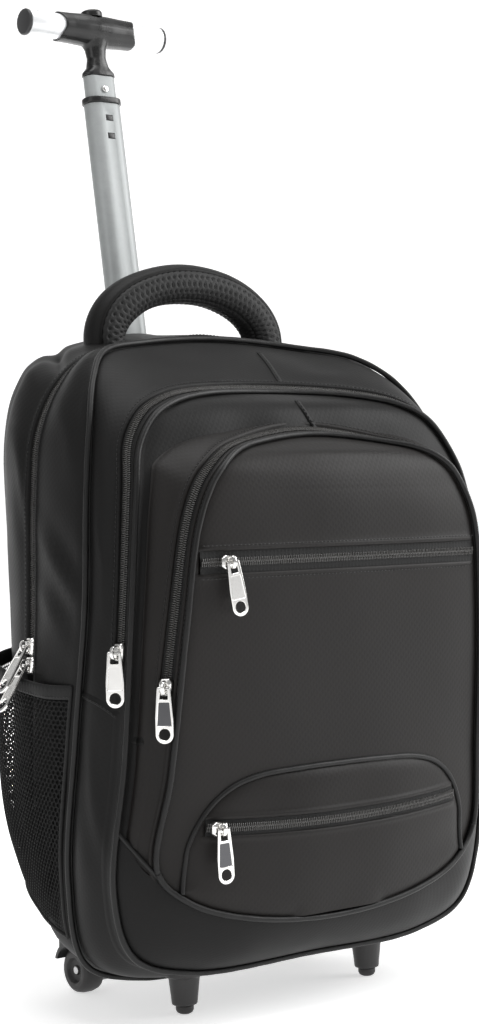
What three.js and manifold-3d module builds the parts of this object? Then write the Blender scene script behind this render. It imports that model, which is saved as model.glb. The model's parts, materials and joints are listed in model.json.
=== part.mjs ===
// Wheeled backpack: a fabric pack with three zipped compartments, side mesh pockets, padded grab
// handle, shoulder straps, a two-stage pole with a T grip, two rear wheels and two front legs.
// Millimetres. +X right seen from the front, front faces -Y, +Z up, floor at z = 0.

import * as THREE from 'three';
import { mergeVertices } from 'three/addons/utils/BufferGeometryUtils.js';
import Module from 'manifold-3d';

const wasm = await Module();
wasm.setup();

// ---------------------------------------------------------------- driving sizes
const GAP = 0.35;                 // clearance between seated pieces
const WALL = 2.6;                 // lined, lightly padded cloth wall
const SHIFT_X = 8.1, SHIFT_Y = -12.6; // puts the middle of the box on the origin

const LEAN = 0.155;               // the back and the pole lean back: mm of y per mm of z
const BACK_Y75 = 68;              // back face of the main compartment at z = 75
const BACK_PANEL_T = 11;          // padded back panel
const PIPING_R = 2.1;
const ZIP_W = 10, ZIP_T = 2.2;    // zip strip, tape and teeth together
const ZIP_BEHIND_PIPING = 10;     // zip line to piping, along the gusset
const MAIN_ZIP_END_Z = 243.5, MID_ZIP_END_Z = 255.5, FRONT_ZIP_END_Z = 231;

const WHEEL_R = 17, WHEEL_W = 18, WHEEL_X = 100, WHEEL_Y = 57, AXLE_R = 3;
const LEG_X = 86, LEG_Y = -50, GLIDE_R = 6.5, GLIDE_H = 6;

const HANDLE_FOOT_X = 76, HANDLE_Y = 44, HANDLE_MID_Z = 530, HANDLE_FOOT_Z = 486;
const HANDLE_RADIAL = 14.5, HANDLE_DEPTH = 13;

const POLE_Z0 = 88, POLE_Y_AT_Z0 = 56.2;                    // foot of the pole's axis
const SLEEVE = { w: 36, d: 22, iw: 32.3, id: 18.3, from: 2, to: 404 };
const OUTER = { w: 31.5, d: 17.5, iw: 29.1, id: 15.1, from: 214, to: 604 };
const INNER = { w: 27.5, d: 13.5, iw: 25.1, id: 11.1, from: 300, to: 627.4 };
const COLLAR_H = 5;
const GRIP_W = 667, GRIP_R = 10.5, GRIP_HALF = 66, HUB_HALF = 34, HUB_R = 12.3;

const PULL = { len: 38, w: 12.4, t: 1.8, bar: 2, slotW: 5.6, slotH: 7, holeR: 3.1 };

// ---------------------------------------------------------------- sections of the pack
// Each row is one closed seam or section line round the pack, front to back. Each column is a
// named station on its right half, from the middle of the bottom up to the middle of the top:
// [x, z, y]. The left half mirrors it. y left out means on the leaning back face.
const STATIONS = ['base', 'baseSide', 'corner', 'low', 'lowMid', 'mid', 'high', 'shoulder',
  'turn', 'crown', 'crownIn', 'apex'];
const RUNS = [[0, 3, 5], [3, 7, 7], [7, 11, 9]];    // first station, last station, steps
const LOW = 5, HALF = 21, FULL = 42;                // steps to `low`, to the top, all round

const SECTION = {
  frontPiping: { base: [0, 69, -118], baseSide: [78, 76.5, -116], corner: [124, 92, -110],
    low: [146, 114, -105], lowMid: [141, 180, -117], mid: [134, 280, -130], high: [126, 345, -135],
    shoulder: [114, 372, -134.5], turn: [103, 385, -133.5], crown: [87, 395, -127],
    crownIn: [58, 402, -115], apex: [0, 408, -105] },
  midPiping: { base: [0, 37, -84], baseSide: [106, 39, -84], corner: [152, 56, -84],
    low: [168, 100, -87], lowMid: [162.5, 190, -96], mid: [158.5, 290, -103], high: [150, 372, -100],
    shoulder: [142, 400, -92], turn: [127, 420, -87], crown: [108, 430, -82],
    crownIn: [70, 437.5, -70], apex: [0, 440, -60] },
  mainSeam: { base: [0, 27, -33], baseSide: [115, 29, -33], corner: [157, 45, -33],
    low: [171, 105, -37], lowMid: [171, 200, -50], mid: [168.5, 290, -62], high: [164, 370, -61],
    shoulder: [157, 415, -56], turn: [141, 450, -38], crown: [118, 470, -17],
    crownIn: [71, 479, 1], apex: [0, 484, 7] },
  mainZip: { base: [0, 36, 6], baseSide: [120, 43, 6], corner: [158, 62, 6], low: [171, 115, 6],
    lowMid: [171, 200, 7], mid: [168, 290, 7], high: [165, 374, 7], shoulder: [160, 414, 7],
    turn: [144, 445, 8], crown: [123, 465, 9], crownIn: [91, 476, 15], apex: [0, 486, 24] },
  rear: { base: [0, 52, 33], baseSide: [115, 57, 33], corner: [152, 75, 33], low: [165, 120, 33],
    lowMid: [166, 200, 33], mid: [165, 290, 33], high: [164, 370, 34], shoulder: [160, 414, 36],
    turn: [146, 446, 38], crown: [121, 467, 40], crownIn: [88, 479, 40], apex: [0, 489, 44] },
  rearTurn: { base: [0, 66, 54], baseSide: [95, 70, 54], corner: [134, 86, 54], low: [149, 130, 56],
    lowMid: [150, 200, 57], mid: [149, 290, 60], high: [148, 375, 62], shoulder: [145, 416, 64],
    turn: [137, 447, 66], crown: [120, 466, 68], crownIn: [90, 480, 72], apex: [0, 491, 78] },
  rearEdge: { base: [0, 71, 62], baseSide: [90, 76, 62], corner: [122, 94, 64], low: [134, 140, 71],
    lowMid: [134, 200, 78], mid: [132, 290, 88], high: [131, 375, 98], shoulder: [128, 414, 102],
    turn: [118, 444, 106], crown: [100, 465, 109], crownIn: [70, 478, 112], apex: [0, 487, 114] },
  back: { base: [0, 76], baseSide: [70, 80], corner: [98, 92], low: [110, 130], lowMid: [112, 200],
    mid: [112, 290], high: [110, 375], shoulder: [107, 412], turn: [95, 440], crown: [74, 461],
    crownIn: [50, 471], apex: [0, 477] },
};
// Middle line of the front face: how far forward the padded front stands at each height.
const FRONT_MIDDLE = [[69, -118], [112, -123], [200, -128], [290, -137], [345, -140], [372, -139.5],
  [395, -131], [402, -118], [408, -105]];
// Low pocket on the front: right half of its outline, [x, z], middle of the bottom to the top.
const ARC_POCKET = [[0, 76], [60, 79.5], [98, 89], [120, 100], [126, 112], [127, 126], [121, 142],
  [110, 157], [94, 168], [72, 174], [38, 176], [0, 176.5]];
// Side mesh pocket at each section it crosses: [section, y fraction, bottom z, top z, slack mm].
const MESH_POCKET = [
  { section: 'pocketFront', zLow: 62, zTop: 238, slack: 0 },
  { section: 'mainSide', zLow: 66, zTop: 238, slack: 4.5 },
  { section: 'mainZip', zLow: 74, zTop: 241, slack: 6 },
  { section: 'rear', zLow: 90, zTop: 249, slack: 12 },
  { section: 'rearTurn', zLow: 104, zTop: 255, slack: 13 },
  { section: 'rearEdge', zLow: 122, zTop: 258, slack: 0 },
];

// ---------------------------------------------------------------- helpers
const box = (x0, x1, y0, y1, z0, z1) => new THREE.BoxGeometry(x1 - x0, y1 - y0, z1 - z0)
  .translate((x0 + x1) / 2, (y0 + y1) / 2, (z0 + z1) / 2);
const V = (x, y, z) => new THREE.Vector3(x, y, z);
const backY = z => BACK_Y75 + (z - 75) * LEAN;
const lerp = (a, b, t) => a + (b - a) * t;
const table = (rows, z) => {           // straight-line look-up in a two-column table
  if (z <= rows[0][0]) return rows[0][1];
  for (let i = 1; i < rows.length; i++)
    if (z <= rows[i][0]) return lerp(rows[i - 1][1], rows[i][1], (z - rows[i - 1][0]) / (rows[i][0] - rows[i - 1][0]));
  return rows[rows.length - 1][1];
};

function makeGeometry(pos, tri) {
  const g = new THREE.BufferGeometry();
  g.setAttribute('position', new THREE.Float32BufferAttribute(pos, 3));
  let vol = 0;
  const a = V(0, 0, 0), b = V(0, 0, 0), c = V(0, 0, 0);
  for (let i = 0; i < tri.length; i += 3) {
    a.fromArray(pos, tri[i] * 3); b.fromArray(pos, tri[i + 1] * 3); c.fromArray(pos, tri[i + 2] * 3);
    vol += a.dot(b.cross(c));
  }
  if (vol < 0) for (let i = 0; i < tri.length; i += 3) [tri[i + 1], tri[i + 2]] = [tri[i + 2], tri[i + 1]];
  g.setIndex(tri);
  g.computeVertexNormals();
  return g;
}
function toSolid(geometry) {
  const g = geometry.clone();
  g.deleteAttribute('normal'); g.deleteAttribute('uv');
  const m = mergeVertices(g, 1e-4);
  return new wasm.Manifold(new wasm.Mesh({ numProp: 3,
    vertProperties: Float32Array.from(m.attributes.position.array), triVerts: Uint32Array.from(m.index.array) }));
}
function toGeometry(solid) {
  const m = solid.getMesh();
  const g = new THREE.BufferGeometry();
  g.setAttribute('position', new THREE.BufferAttribute(Float32Array.from(m.vertProperties), 3));
  g.setIndex(Array.from(m.triVerts));
  g.computeVertexNormals();
  return g;
}
function swell(geometry, d) {          // every vertex moved along its own normal
  const g = geometry.clone();
  g.deleteAttribute('uv'); g.deleteAttribute('normal');
  const m = mergeVertices(g, 1e-4);
  m.computeVertexNormals();
  const p = m.attributes.position, n = m.attributes.normal;
  for (let i = 0; i < p.count; i++)
    p.setXYZ(i, p.getX(i) + n.getX(i) * d, p.getY(i) + n.getY(i) * d, p.getZ(i) + n.getZ(i) * d);
  return m;
}
const cut = (geometry, ...tools) => {
  let s = geometry.isBufferGeometry ? toSolid(geometry) : geometry;
  for (const t of tools) s = s.subtract(t.isBufferGeometry ? toSolid(t) : t);
  return toGeometry(s);
};
const join = (...pieces) => {
  let s = toSolid(pieces[0]);
  for (const p of pieces.slice(1)) s = s.add(toSolid(p));
  return toGeometry(s);
};
const largest = geometry => {          // keeps the biggest piece where a cut leaves crumbs
  const parts = toSolid(geometry).decompose();
  let best = parts[0];
  for (const p of parts) if (p.volume() > best.volume()) best = p;
  return toGeometry(best);
};

function ring(row) {
  const pt = k => V(row[k][0], row[k].length > 2 ? row[k][2] : backY(row[k][1]), row[k][1]);
  const half = STATIONS.map(pt);
  const mirror = p => V(-p.x, p.y, p.z);
  const all = [mirror(half[1]), ...half, mirror(half[half.length - 2])];
  const curve = new THREE.CatmullRomCurve3(all, false, 'centripetal');
  const out = [];
  for (const [a, b, steps] of RUNS) {
    const dense = [];
    for (let i = 0; i <= 80; i++) dense.push(curve.getPoint(((a + 1) + (b - a) * i / 80) / (all.length - 1)));
    const len = [0];
    for (let i = 1; i < dense.length; i++) len.push(len[i - 1] + dense[i].distanceTo(dense[i - 1]));
    for (let s = 0; s < steps; s++) {
      const want = len[80] * s / steps;
      let i = 1; while (len[i] < want) i++;
      out.push(dense[i - 1].clone().lerp(dense[i], (want - len[i - 1]) / (len[i] - len[i - 1] || 1)));
    }
  }
  out.push(half[half.length - 1].clone());
  out[0].x = 0; out[HALF].x = 0;
  for (let k = HALF - 1; k > 0; k--) out.push(mirror(out[k]));
  return out;                            // base, up the right side, apex, down the left
}
const mix = (r, s, t) => r.map((p, k) => p.clone().lerp(s[k], t));
const toward = (r, s, d) => r.map((p, k) => p.clone().add(s[k].clone().sub(p).setLength(d)));
const slid = (r, dy) => r.map(p => V(p.x, p.y + dy, p.z));
const inset = (r, d) => r.map((p, k) => {   // drawn in by d within its own upright plane
  const a = r[(k + FULL - 1) % FULL], b = r[(k + 1) % FULL], l = Math.hypot(b.x - a.x, b.z - a.z);
  return V(p.x - d * (b.z - a.z) / l, p.y, p.z + d * (b.x - a.x) / l);
});
const halfLine = (r, col) => r.slice(0, HALF + 1).map(p => [p.z, p[col]]);
const inside = rings => rings.map((r, i) => {   // the hollow, one wall in from the outside
  const q = inset(r, WALL), line = halfLine(r, 'y'), step = i === 0 ? WALL : i === rings.length - 1 ? -WALL : null;
  if (step !== null) q.forEach(p => { p.y = table(line, p.z) + step; });
  return q;
});

// Closed body lofted through rings, closed front and back by level rungs between its two halves.
function loft(rings, { frontY = null, cols: frontCols = 1 } = {}) {
  const pos = [], tri = [];
  const put = p => (pos.push(p.x, p.y, p.z), pos.length / 3 - 1);
  const ids = rings.map(r => r.map(put));
  const quad = (a, b, c, d) => tri.push(a, c, b, a, d, c);
  for (let i = 0; i + 1 < rings.length; i++)
    for (let k = 0; k < FULL; k++) {
      const k2 = (k + 1) % FULL;
      quad(ids[i][k], ids[i][k2], ids[i + 1][k2], ids[i + 1][k]);
    }
  const cap = (r, id, front) => {
    const rows = [], cols = front ? frontCols : 1;
    for (let j = 0; j <= HALF; j++) {
      if (j === 0 || j === HALF) { rows.push([id[j]]); continue; }
      const right = r[j], left = r[FULL - j], row = [id[FULL - j]];
      for (let c = 1; c < cols; c++) {
        const u = c / cols, p = left.clone().lerp(right, u);
        if (front && frontY) p.y = frontY(p.x, p.z, right.y, right.x);
        row.push(put(p));
      }
      row.push(id[j]); rows.push(row);
    }
    const face = (a, b, c) => front ? tri.push(a, b, c) : tri.push(a, c, b);
    for (let j = 0; j < HALF; j++) {
      const a = rows[j], b = rows[j + 1];
      if (a.length === 1) for (let c = 0; c < cols; c++) face(a[0], b[c + 1], b[c]);
      else if (b.length === 1) for (let c = 0; c < cols; c++) face(a[c], a[c + 1], b[0]);
      else for (let c = 0; c < cols; c++) { face(a[c], a[c + 1], b[c + 1]); face(a[c], b[c + 1], b[c]); }
    }
  };
  cap(rings[0], ids[0], true);
  cap(rings[rings.length - 1], ids[rings.length - 1], false);
  return makeGeometry(pos, tri);
}

// Body swept through frames {p, a, n}: section points are [across, out].
function sweep(frames, section) {
  const pos = [], tri = [], m = section.length;
  for (const [i, f] of frames.entries()) {
    const sec = typeof section[0] === 'function' ? section : section;
    for (const s of sec) {
      const q = f.p.clone().addScaledVector(f.a, s[0] * (f.sa ?? 1)).addScaledVector(f.n, s[1] * (f.sn ?? 1));
      pos.push(q.x, q.y, q.z);
    }
    if (i) for (let k = 0; k < m; k++) {
      const k2 = (k + 1) % m, b = (i - 1) * m, c = i * m;
      tri.push(b + k, b + k2, c + k2, b + k, c + k2, c + k);
    }
  }
  const last = (frames.length - 1) * m;
  for (let k = 1; k + 1 < m; k++) { tri.push(0, k + 1, k); tri.push(last, last + k, last + k + 1); }
  return makeGeometry(pos, tri);
}
const rect = (w, n0, n1) => [[-w / 2, n0], [w / 2, n0], [w / 2, n1], [-w / 2, n1]];
const round = (ra, rn, sides, c = 0) => Array.from({ length: sides }, (_, i) =>
  [ra * Math.cos((i + 0.5) * 2 * Math.PI / sides), c + rn * Math.sin((i + 0.5) * 2 * Math.PI / sides)]);

// Frames along a ring: p on the ring, a across it (towards the ring behind), n outwards.
const MIDDLE = V(0, -30, 250);
function frameAt(r, ahead, behind, k) {
  const t = r[(k + 1) % FULL].clone().sub(r[(k + FULL - 1) % FULL]).normalize();
  const a = behind[k].clone().sub(ahead[k]).normalize();
  const n = t.clone().cross(a).normalize();
  if (n.dot(r[k].clone().sub(MIDDLE)) < 0) n.negate();
  return { p: r[k].clone(), a: a.sub(t.clone().multiplyScalar(a.dot(t))).normalize(), n, t };
}
function zipFrames(r, ahead, behind, endZ) {
  const list = [];
  for (let k = 0; k <= FULL; k++) if (r[k % FULL].z > endZ + 2) list.push(k % FULL);
  const frames = list.map(k => frameAt(r, ahead, behind, k));
  const endFrame = (f, g) => {
    const t = (endZ - f.p.z) / (g.p.z - f.p.z);
    return { p: f.p.clone().lerp(g.p, t), a: f.a.clone(), n: f.n.clone(), t: f.t.clone() };
  };
  const first = frameAt(r, ahead, behind, list[0] - 1), lastK = list[list.length - 1];
  const last = frameAt(r, ahead, behind, (lastK + 1) % FULL);
  return [endFrame(frames[0], first), ...frames, endFrame(frames[frames.length - 1], last)];
}

// ---------------------------------------------------------------- soft forms
const R = Object.fromEntries(Object.entries(SECTION).map(([k, row]) => [k, ring(row)]));
R.mainSide = mix(R.mainSeam, R.mainZip, 0.5).map(p => V(p.x + Math.sign(p.x) * 1.5, p.y, p.z));
R.pocketFront = toward(R.mainSeam, R.mainZip, 9);
const midZip = toward(R.midPiping, R.mainSeam, ZIP_BEHIND_PIPING);
const frontBase = R.midPiping.map((p, k) =>   // foot of the front compartment, lower at the top
  p.clone().lerp(R.frontPiping[k], 0.25 + 0.45 * Math.min(1, Math.max(0, (p.z - 396) / 40))));
const midFaceLine = halfLine(R.midPiping, 'y');
for (let k = 0; k < FULL; k++) frontBase[k].y = table(midFaceLine, frontBase[k].z) - 2;
const frontZip = toward(R.frontPiping, frontBase, ZIP_BEHIND_PIPING);
const frontEdgeY = halfLine(R.frontPiping, 'y'), frontEdgeX = halfLine(R.frontPiping, 'x');
const bowed = (x, z, edge, w) => edge + (table(FRONT_MIDDLE, z) - edge) * Math.max(0, 1 - (x / w) ** 2);
const frontFaceY = (x, z) => bowed(x, z, table(frontEdgeY, z), table(frontEdgeX, z) || 1);

const mainRings = [R.mainSeam, R.mainSide, R.mainZip, R.rear, R.rearTurn, R.rearEdge, R.back];
const midRings = [R.midPiping, midZip, mix(R.midPiping, R.mainSeam, 0.6), slid(R.mainSeam, -1)];
const frontRings = [R.frontPiping, frontZip, mix(frontZip, frontBase, 0.5), frontBase];
const above = z => box(-200, 200, -200, 200, z, 600);   // the hollows stop short of the thin top edges
const mainOuter = loft(mainRings), mainInner = loft(inside(mainRings));
const midOuter = loft(midRings), midInner = cut(loft(inside(midRings)), above(450));
const frontOuter = loft(frontRings, { frontY: bowed, cols: 6 });
const frontInner = cut(loft(inside(frontRings),
  { frontY: (x, z, edge, w) => bowed(x, z, edge - WALL, w) + WALL, cols: 6 }), above(400));

const mainZipFrames = zipFrames(R.mainZip, R.mainSide, R.rear, MAIN_ZIP_END_Z);
const midZipFrames = zipFrames(midZip, R.midPiping, R.mainSeam, MID_ZIP_END_Z);
const frontZipFrames = zipFrames(frontZip, R.frontPiping, frontBase, FRONT_ZIP_END_Z);
const slit = frames => sweep(frames, rect(ZIP_W + 2.2, -4.4, 4));
const strip = frames => {
  const f = frames.map(x => ({ ...x }));
  for (const [i, j] of [[0, 1], [f.length - 1, f.length - 2]])   // ends a little short of the slit
    f[i] = { ...f[i], p: f[i].p.clone().add(f[j].p.clone().sub(f[i].p).setLength(0.5)) };
  return sweep(f, rect(ZIP_W, 0.7 - ZIP_T, 0.7));
};

const leanAngle = -Math.atan(LEAN);
const poleFrame = new THREE.Matrix4().makeRotationX(leanAngle).setPosition(0, POLE_Y_AT_Z0, POLE_Z0);
const onPole = g => g.clone().applyMatrix4(poleFrame);
const channel = grow => onPole(box(-20 - grow, 20 + grow, -12.5 - grow, 40, -60, 470));

const mainShell = cut(mainOuter, channel(0), cut(mainInner, channel(WALL)), slit(mainZipFrames));
const zipStrips = { main: strip(mainZipFrames), mid: strip(midZipFrames), front: strip(frontZipFrames) };
const midShell = cut(midOuter, midInner, slit(midZipFrames));
const frontShell = cut(frontOuter, frontInner, slit(frontZipFrames));

// Lower front panel, from the bottom edge of the middle compartment up to the curved seam.
function kickPanel() {
  const pos = [], tri = [], rowsU = [];
  const K = LOW, T = 4;
  for (const inner of [0, 1]) for (let t = 0; t <= T; t++) for (let k = -K; k <= K; k++) {
    const low = R.midPiping[(k + FULL) % FULL], top = R.frontPiping[(k + FULL) % FULL];
    const u = t / T, s = Math.abs(k) / K;
    const p = V(lerp(low.x * 0.985, top.x * 1.0, u), lerp(low.y - 1.2, top.y, u), lerp(low.z + 1, top.z - 2.2, u));
    const puff = 5 * Math.sin(Math.PI * (0.12 + 0.88 * u)) * (1 - s ** 4);
    p.y -= puff * 0.7; p.z -= puff * 0.7;
    if (inner) { p.y += 2.4 * (1 - 0.3 * s); p.z += 1.2 * (1 - u) + 0.4; p.x *= 1 - 0.016 * (1 - u); }
    pos.push(p.x, p.y, p.z);
  }
  const W = 2 * K + 1, at = (i, t, k) => i * (T + 1) * W + t * W + k + K;
  const quad = (a, b, c, d) => tri.push(a, b, c, a, c, d);
  for (let t = 0; t < T; t++) for (let k = -K; k < K; k++) {
    quad(at(0, t, k), at(0, t, k + 1), at(0, t + 1, k + 1), at(0, t + 1, k));
    quad(at(1, t, k), at(1, t + 1, k), at(1, t + 1, k + 1), at(1, t, k + 1));
  }
  for (let k = -K; k < K; k++) {
    quad(at(0, 0, k), at(1, 0, k), at(1, 0, k + 1), at(0, 0, k + 1));
    quad(at(0, T, k), at(0, T, k + 1), at(1, T, k + 1), at(1, T, k));
  }
  for (let t = 0; t < T; t++) {
    quad(at(0, t, -K), at(0, t + 1, -K), at(1, t + 1, -K), at(1, t, -K));
    quad(at(0, t, K), at(1, t, K), at(1, t + 1, K), at(0, t + 1, K));
  }
  return largest(cut(makeGeometry(pos, tri), swell(midOuter, GAP),
    ...[[0, -0.4, -0.4], [0.4, 0, 0], [-0.4, 0, 0], [0, 0.4, 0.4]].map(d => frontOuter.clone().translate(...d))));
}

// Low pocket standing on the front face.
function arcPocket() {
  const half = ARC_POCKET.slice(1, -1), pos = [], tri = [];
  const put = (x, y, z) => (pos.push(x, y, z), pos.length / 3 - 1);
  const cols = 8, front = [], rear = [];
  const rowsZ = ARC_POCKET;
  const build = (out, depth) => rowsZ.forEach(([w, z], j) => {
    const row = [];
    if (j === 0 || j === rowsZ.length - 1) row.push(put(0, frontFaceY(0, z) - depth(0, z, 1), z));
    else for (let c = 0; c <= cols; c++) {
      const x = lerp(-w, w, c / cols);
      row.push(put(x, frontFaceY(x, z) - depth(x, z, Math.abs(x) / w), z));
    }
    out.push(row);
  });
  const rise = z => Math.sin(Math.PI * Math.min(1, Math.max(0, (z - 70) / 112)));
  build(front, (x, z, s) => 2.6 + 3.6 * (1 - s ** 4) * rise(z));
  build(rear, () => -2);
  const span = (a, b, flip) => {
    const face = (p, q, r) => flip ? tri.push(p, r, q) : tri.push(p, q, r);
    if (a.length === 1) for (let c = 0; c < cols; c++) face(a[0], b[c + 1], b[c]);
    else if (b.length === 1) for (let c = 0; c < cols; c++) face(a[c], a[c + 1], b[0]);
    else for (let c = 0; c < cols; c++) { face(a[c], a[c + 1], b[c + 1]); face(a[c], b[c + 1], b[c]); }
  };
  const n = rowsZ.length;
  for (let j = 0; j + 1 < n; j++) { span(front[j], front[j + 1], false); span(rear[j], rear[j + 1], true); }
  const rim = (i, j, side) => {
    const f0 = front[i][side ? front[i].length - 1 : 0], f1 = front[j][side ? front[j].length - 1 : 0];
    const r0 = rear[i][side ? rear[i].length - 1 : 0], r1 = rear[j][side ? rear[j].length - 1 : 0];
    if (side) tri.push(f0, r0, r1, f0, r1, f1); else tri.push(f0, r1, r0, f0, f1, r1);
  };
  for (let j = 0; j + 1 < n; j++) { rim(j, j + 1, 0); rim(j, j + 1, 1); }
  return largest(cut(makeGeometry(pos, tri), swell(frontOuter, GAP)));
}
const arcPocketG = arcPocket();

// Piping: a cord run along a ring, standing just off the seam.
function pipingFrames(r, ahead, behind, ks, lift) {
  return ks.map(k => {
    const kk = (k + FULL) % FULL, f = frameAt(r, ahead, behind, kk);
    return { p: f.p.clone().addScaledVector(f.n, lift), a: f.a, n: f.n };
  });
}
const closedCord = frames => {           // one closed loop: the last frame joins the first
  const sec = round(PIPING_R, PIPING_R, 6), pos = [], tri = [], m = 6, n = frames.length;
  frames.forEach(f => sec.forEach(s => {
    const q = f.p.clone().addScaledVector(f.a, s[0]).addScaledVector(f.n, s[1]); pos.push(q.x, q.y, q.z);
  }));
  for (let i = 0; i < n; i++) for (let k = 0; k < m; k++) {
    const k2 = (k + 1) % m, b = i * m, c = ((i + 1) % n) * m;
    tri.push(b + k, b + k2, c + k2, b + k, c + k2, c + k);
  }
  return makeGeometry(pos, tri);
};
const range = (a, b) => Array.from({ length: b - a + 1 }, (_, i) => a + i);
const pipingMain = closedCord(pipingFrames(R.mainSeam, R.midPiping, R.mainZip, range(0, FULL - 1), PIPING_R + 0.6));
const pipingMid = closedCord(pipingFrames(R.midPiping, frontBase, R.mainSeam, range(0, FULL - 1), PIPING_R + 0.9));
const frontFaceRing = R.frontPiping.map(p => V(p.x * 0.9, p.y - 2, lerp(p.z, 250, 0.1)));
const pipingFront = sweep(pipingFrames(R.frontPiping, frontFaceRing, frontBase, range(LOW, FULL - LOW), PIPING_R + 0.9),
  round(PIPING_R, PIPING_R, 6));

// Side mesh pocket: an open-topped pouch standing off the side of the main compartment.
function sidePoint(name, z, side) {
  const r = R[name], half = r.slice(0, HALF + 1);
  for (let k = 1; k <= HALF; k++) if (half[k].z >= z) {
    const t = (z - half[k - 1].z) / (half[k].z - half[k - 1].z);
    const p = half[k - 1].clone().lerp(half[k], t);
    return V(side * p.x, p.y, z);
  }
  return V(0, 0, z);
}
function meshPocket(side) {
  const T = 6, S = MESH_POCKET.length - 1, sub = 2, pos = [], tri = [];
  const cols = S * sub;
  const column = c => {
    const i = Math.min(S - 1, Math.floor(c / sub)), f = c / sub - i;
    const a = MESH_POCKET[i], b = MESH_POCKET[i + 1];
    const eased = f;
    return { a, b, f, zLow: lerp(a.zLow, b.zLow, f), zTop: lerp(a.zTop, b.zTop, f), slack: lerp(a.slack, b.slack, eased) };
  };
  for (const inner of [0, 1]) for (let c = 0; c <= cols; c++) {
    const q = column(c);
    for (let t = 0; t <= T; t++) {
      const z = lerp(q.zLow, q.zTop, t / T);
      const p0 = sidePoint(q.a.section, z, side), p1 = sidePoint(q.b.section, z, side);
      const p = p0.clone().lerp(p1, q.f), d = p1.clone().sub(p0).setZ(0).normalize();
      let n = V(side * d.y, -side * d.x, 0);
      if (n.x * side < 0) n.negate();
      const hem = t === T ? 0.6 : 0;
      const off = 1.3 + q.slack * Math.sin(Math.PI / 2 * Math.min(1, t / T * 1.5)) + (inner ? 0 : 1.6 + hem);
      p.addScaledVector(n, off);
      pos.push(p.x, p.y, p.z);
    }
  }
  const H = T + 1, at = (i, c, t) => i * (cols + 1) * H + c * H + t;
  const quad = (a, b, c, d) => tri.push(a, b, c, a, c, d);
  for (let c = 0; c < cols; c++) for (let t = 0; t < T; t++) {
    quad(at(0, c, t), at(0, c + 1, t), at(0, c + 1, t + 1), at(0, c, t + 1));
    quad(at(1, c, t), at(1, c, t + 1), at(1, c + 1, t + 1), at(1, c + 1, t));
  }
  for (let c = 0; c < cols; c++) {
    quad(at(0, c, 0), at(1, c, 0), at(1, c + 1, 0), at(0, c + 1, 0));
    quad(at(0, c, T), at(0, c + 1, T), at(1, c + 1, T), at(1, c, T));
  }
  for (let t = 0; t < T; t++) {
    quad(at(0, 0, t), at(0, 0, t + 1), at(1, 0, t + 1), at(1, 0, t));
    quad(at(0, cols, t), at(1, cols, t), at(1, cols, t + 1), at(0, cols, t + 1));
  }
  return largest(cut(makeGeometry(pos, tri), swell(mainOuter, GAP)));
}

// Padded back panel on the leaning back face.
const backPanel = loft([slid(R.back, 0.7).map(p => V(p.x * 0.985, p.y, lerp(p.z, 276, 0.012))),
  slid(R.back, BACK_PANEL_T * 0.7).map(p => V(p.x * 0.99, p.y, lerp(p.z, 276, 0.01))),
  slid(R.back, BACK_PANEL_T).map(p => V(p.x * 0.93, p.y, lerp(p.z, 276, 0.05)))]);

// Shoulder straps: padded upper part and plain webbing down to the lower corners.
const STRAP = { padW: 58, padT: 11, webW: 25, webT: 2.4 };
const strapRows = [   // z, x, stand-off from the back panel (inner face), width factor
  { z: 452, x: 44, off: 2.2, w: 0.9 }, { z: 425, x: 50, off: 9, w: 1 }, { z: 380, x: 58, off: 17, w: 1 },
  { z: 320, x: 64, off: 21, w: 1 }, { z: 260, x: 70, off: 18, w: 0.95 }, { z: 205, x: 78, off: 10, w: 0.8 },
  { z: 168, x: 84, off: 3.5, w: 0.55 }];
const webRows = [{ z: 163, x: 85, off: 3.2 }, { z: 140, x: 89, off: 1.6 }, { z: 112, x: 93, off: 1.2 }, { z: 100, x: 94, off: 1.2 }];
function strapSweep(rows, side, width, thick) {
  const pts = rows.map(r => V(side * r.x, backY(r.z) + BACK_PANEL_T + 0.6 + r.off + thick / 2, r.z));
  const frames = pts.map((p, i) => {
    const t = pts[Math.min(i + 1, pts.length - 1)].clone().sub(pts[Math.max(i - 1, 0)]).normalize();
    const n = V(0, 1, 0).sub(t.clone().multiplyScalar(t.y)).normalize();
    return { p, n, a: t.clone().cross(n).normalize(), sa: rows[i].w ?? 1 };
  });
  const w = width / 2, h = thick / 2;
  return sweep(frames, [[-w, -h * 0.3], [-w * 0.9, -h], [w * 0.9, -h], [w, -h * 0.3], [w, h * 0.3], [w * 0.9, h], [-w * 0.9, h], [-w, h * 0.3]]);
}

// Grab handle: padded half ring standing on the top.
function grabHandle() {
  const frames = [], steps = 18;
  for (let i = 0; i <= steps; i++) {
    const a = Math.PI * (i / steps) * 1.06 - Math.PI * 0.03;
    const rx = HANDLE_FOOT_X, rz = HANDLE_MID_Z - HANDLE_FOOT_Z;
    const p = V(-rx * Math.cos(a), HANDLE_Y, HANDLE_FOOT_Z + rz * Math.sin(a));
    const t = V(rx * Math.sin(a), 0, rz * Math.cos(a)).normalize();
    frames.push({ p, n: V(-t.z, 0, t.x), a: V(0, 1, 0) });
  }
  return largest(cut(sweep(frames, round(HANDLE_DEPTH, HANDLE_RADIAL, 12)), swell(mainOuter, GAP)));
}

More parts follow.
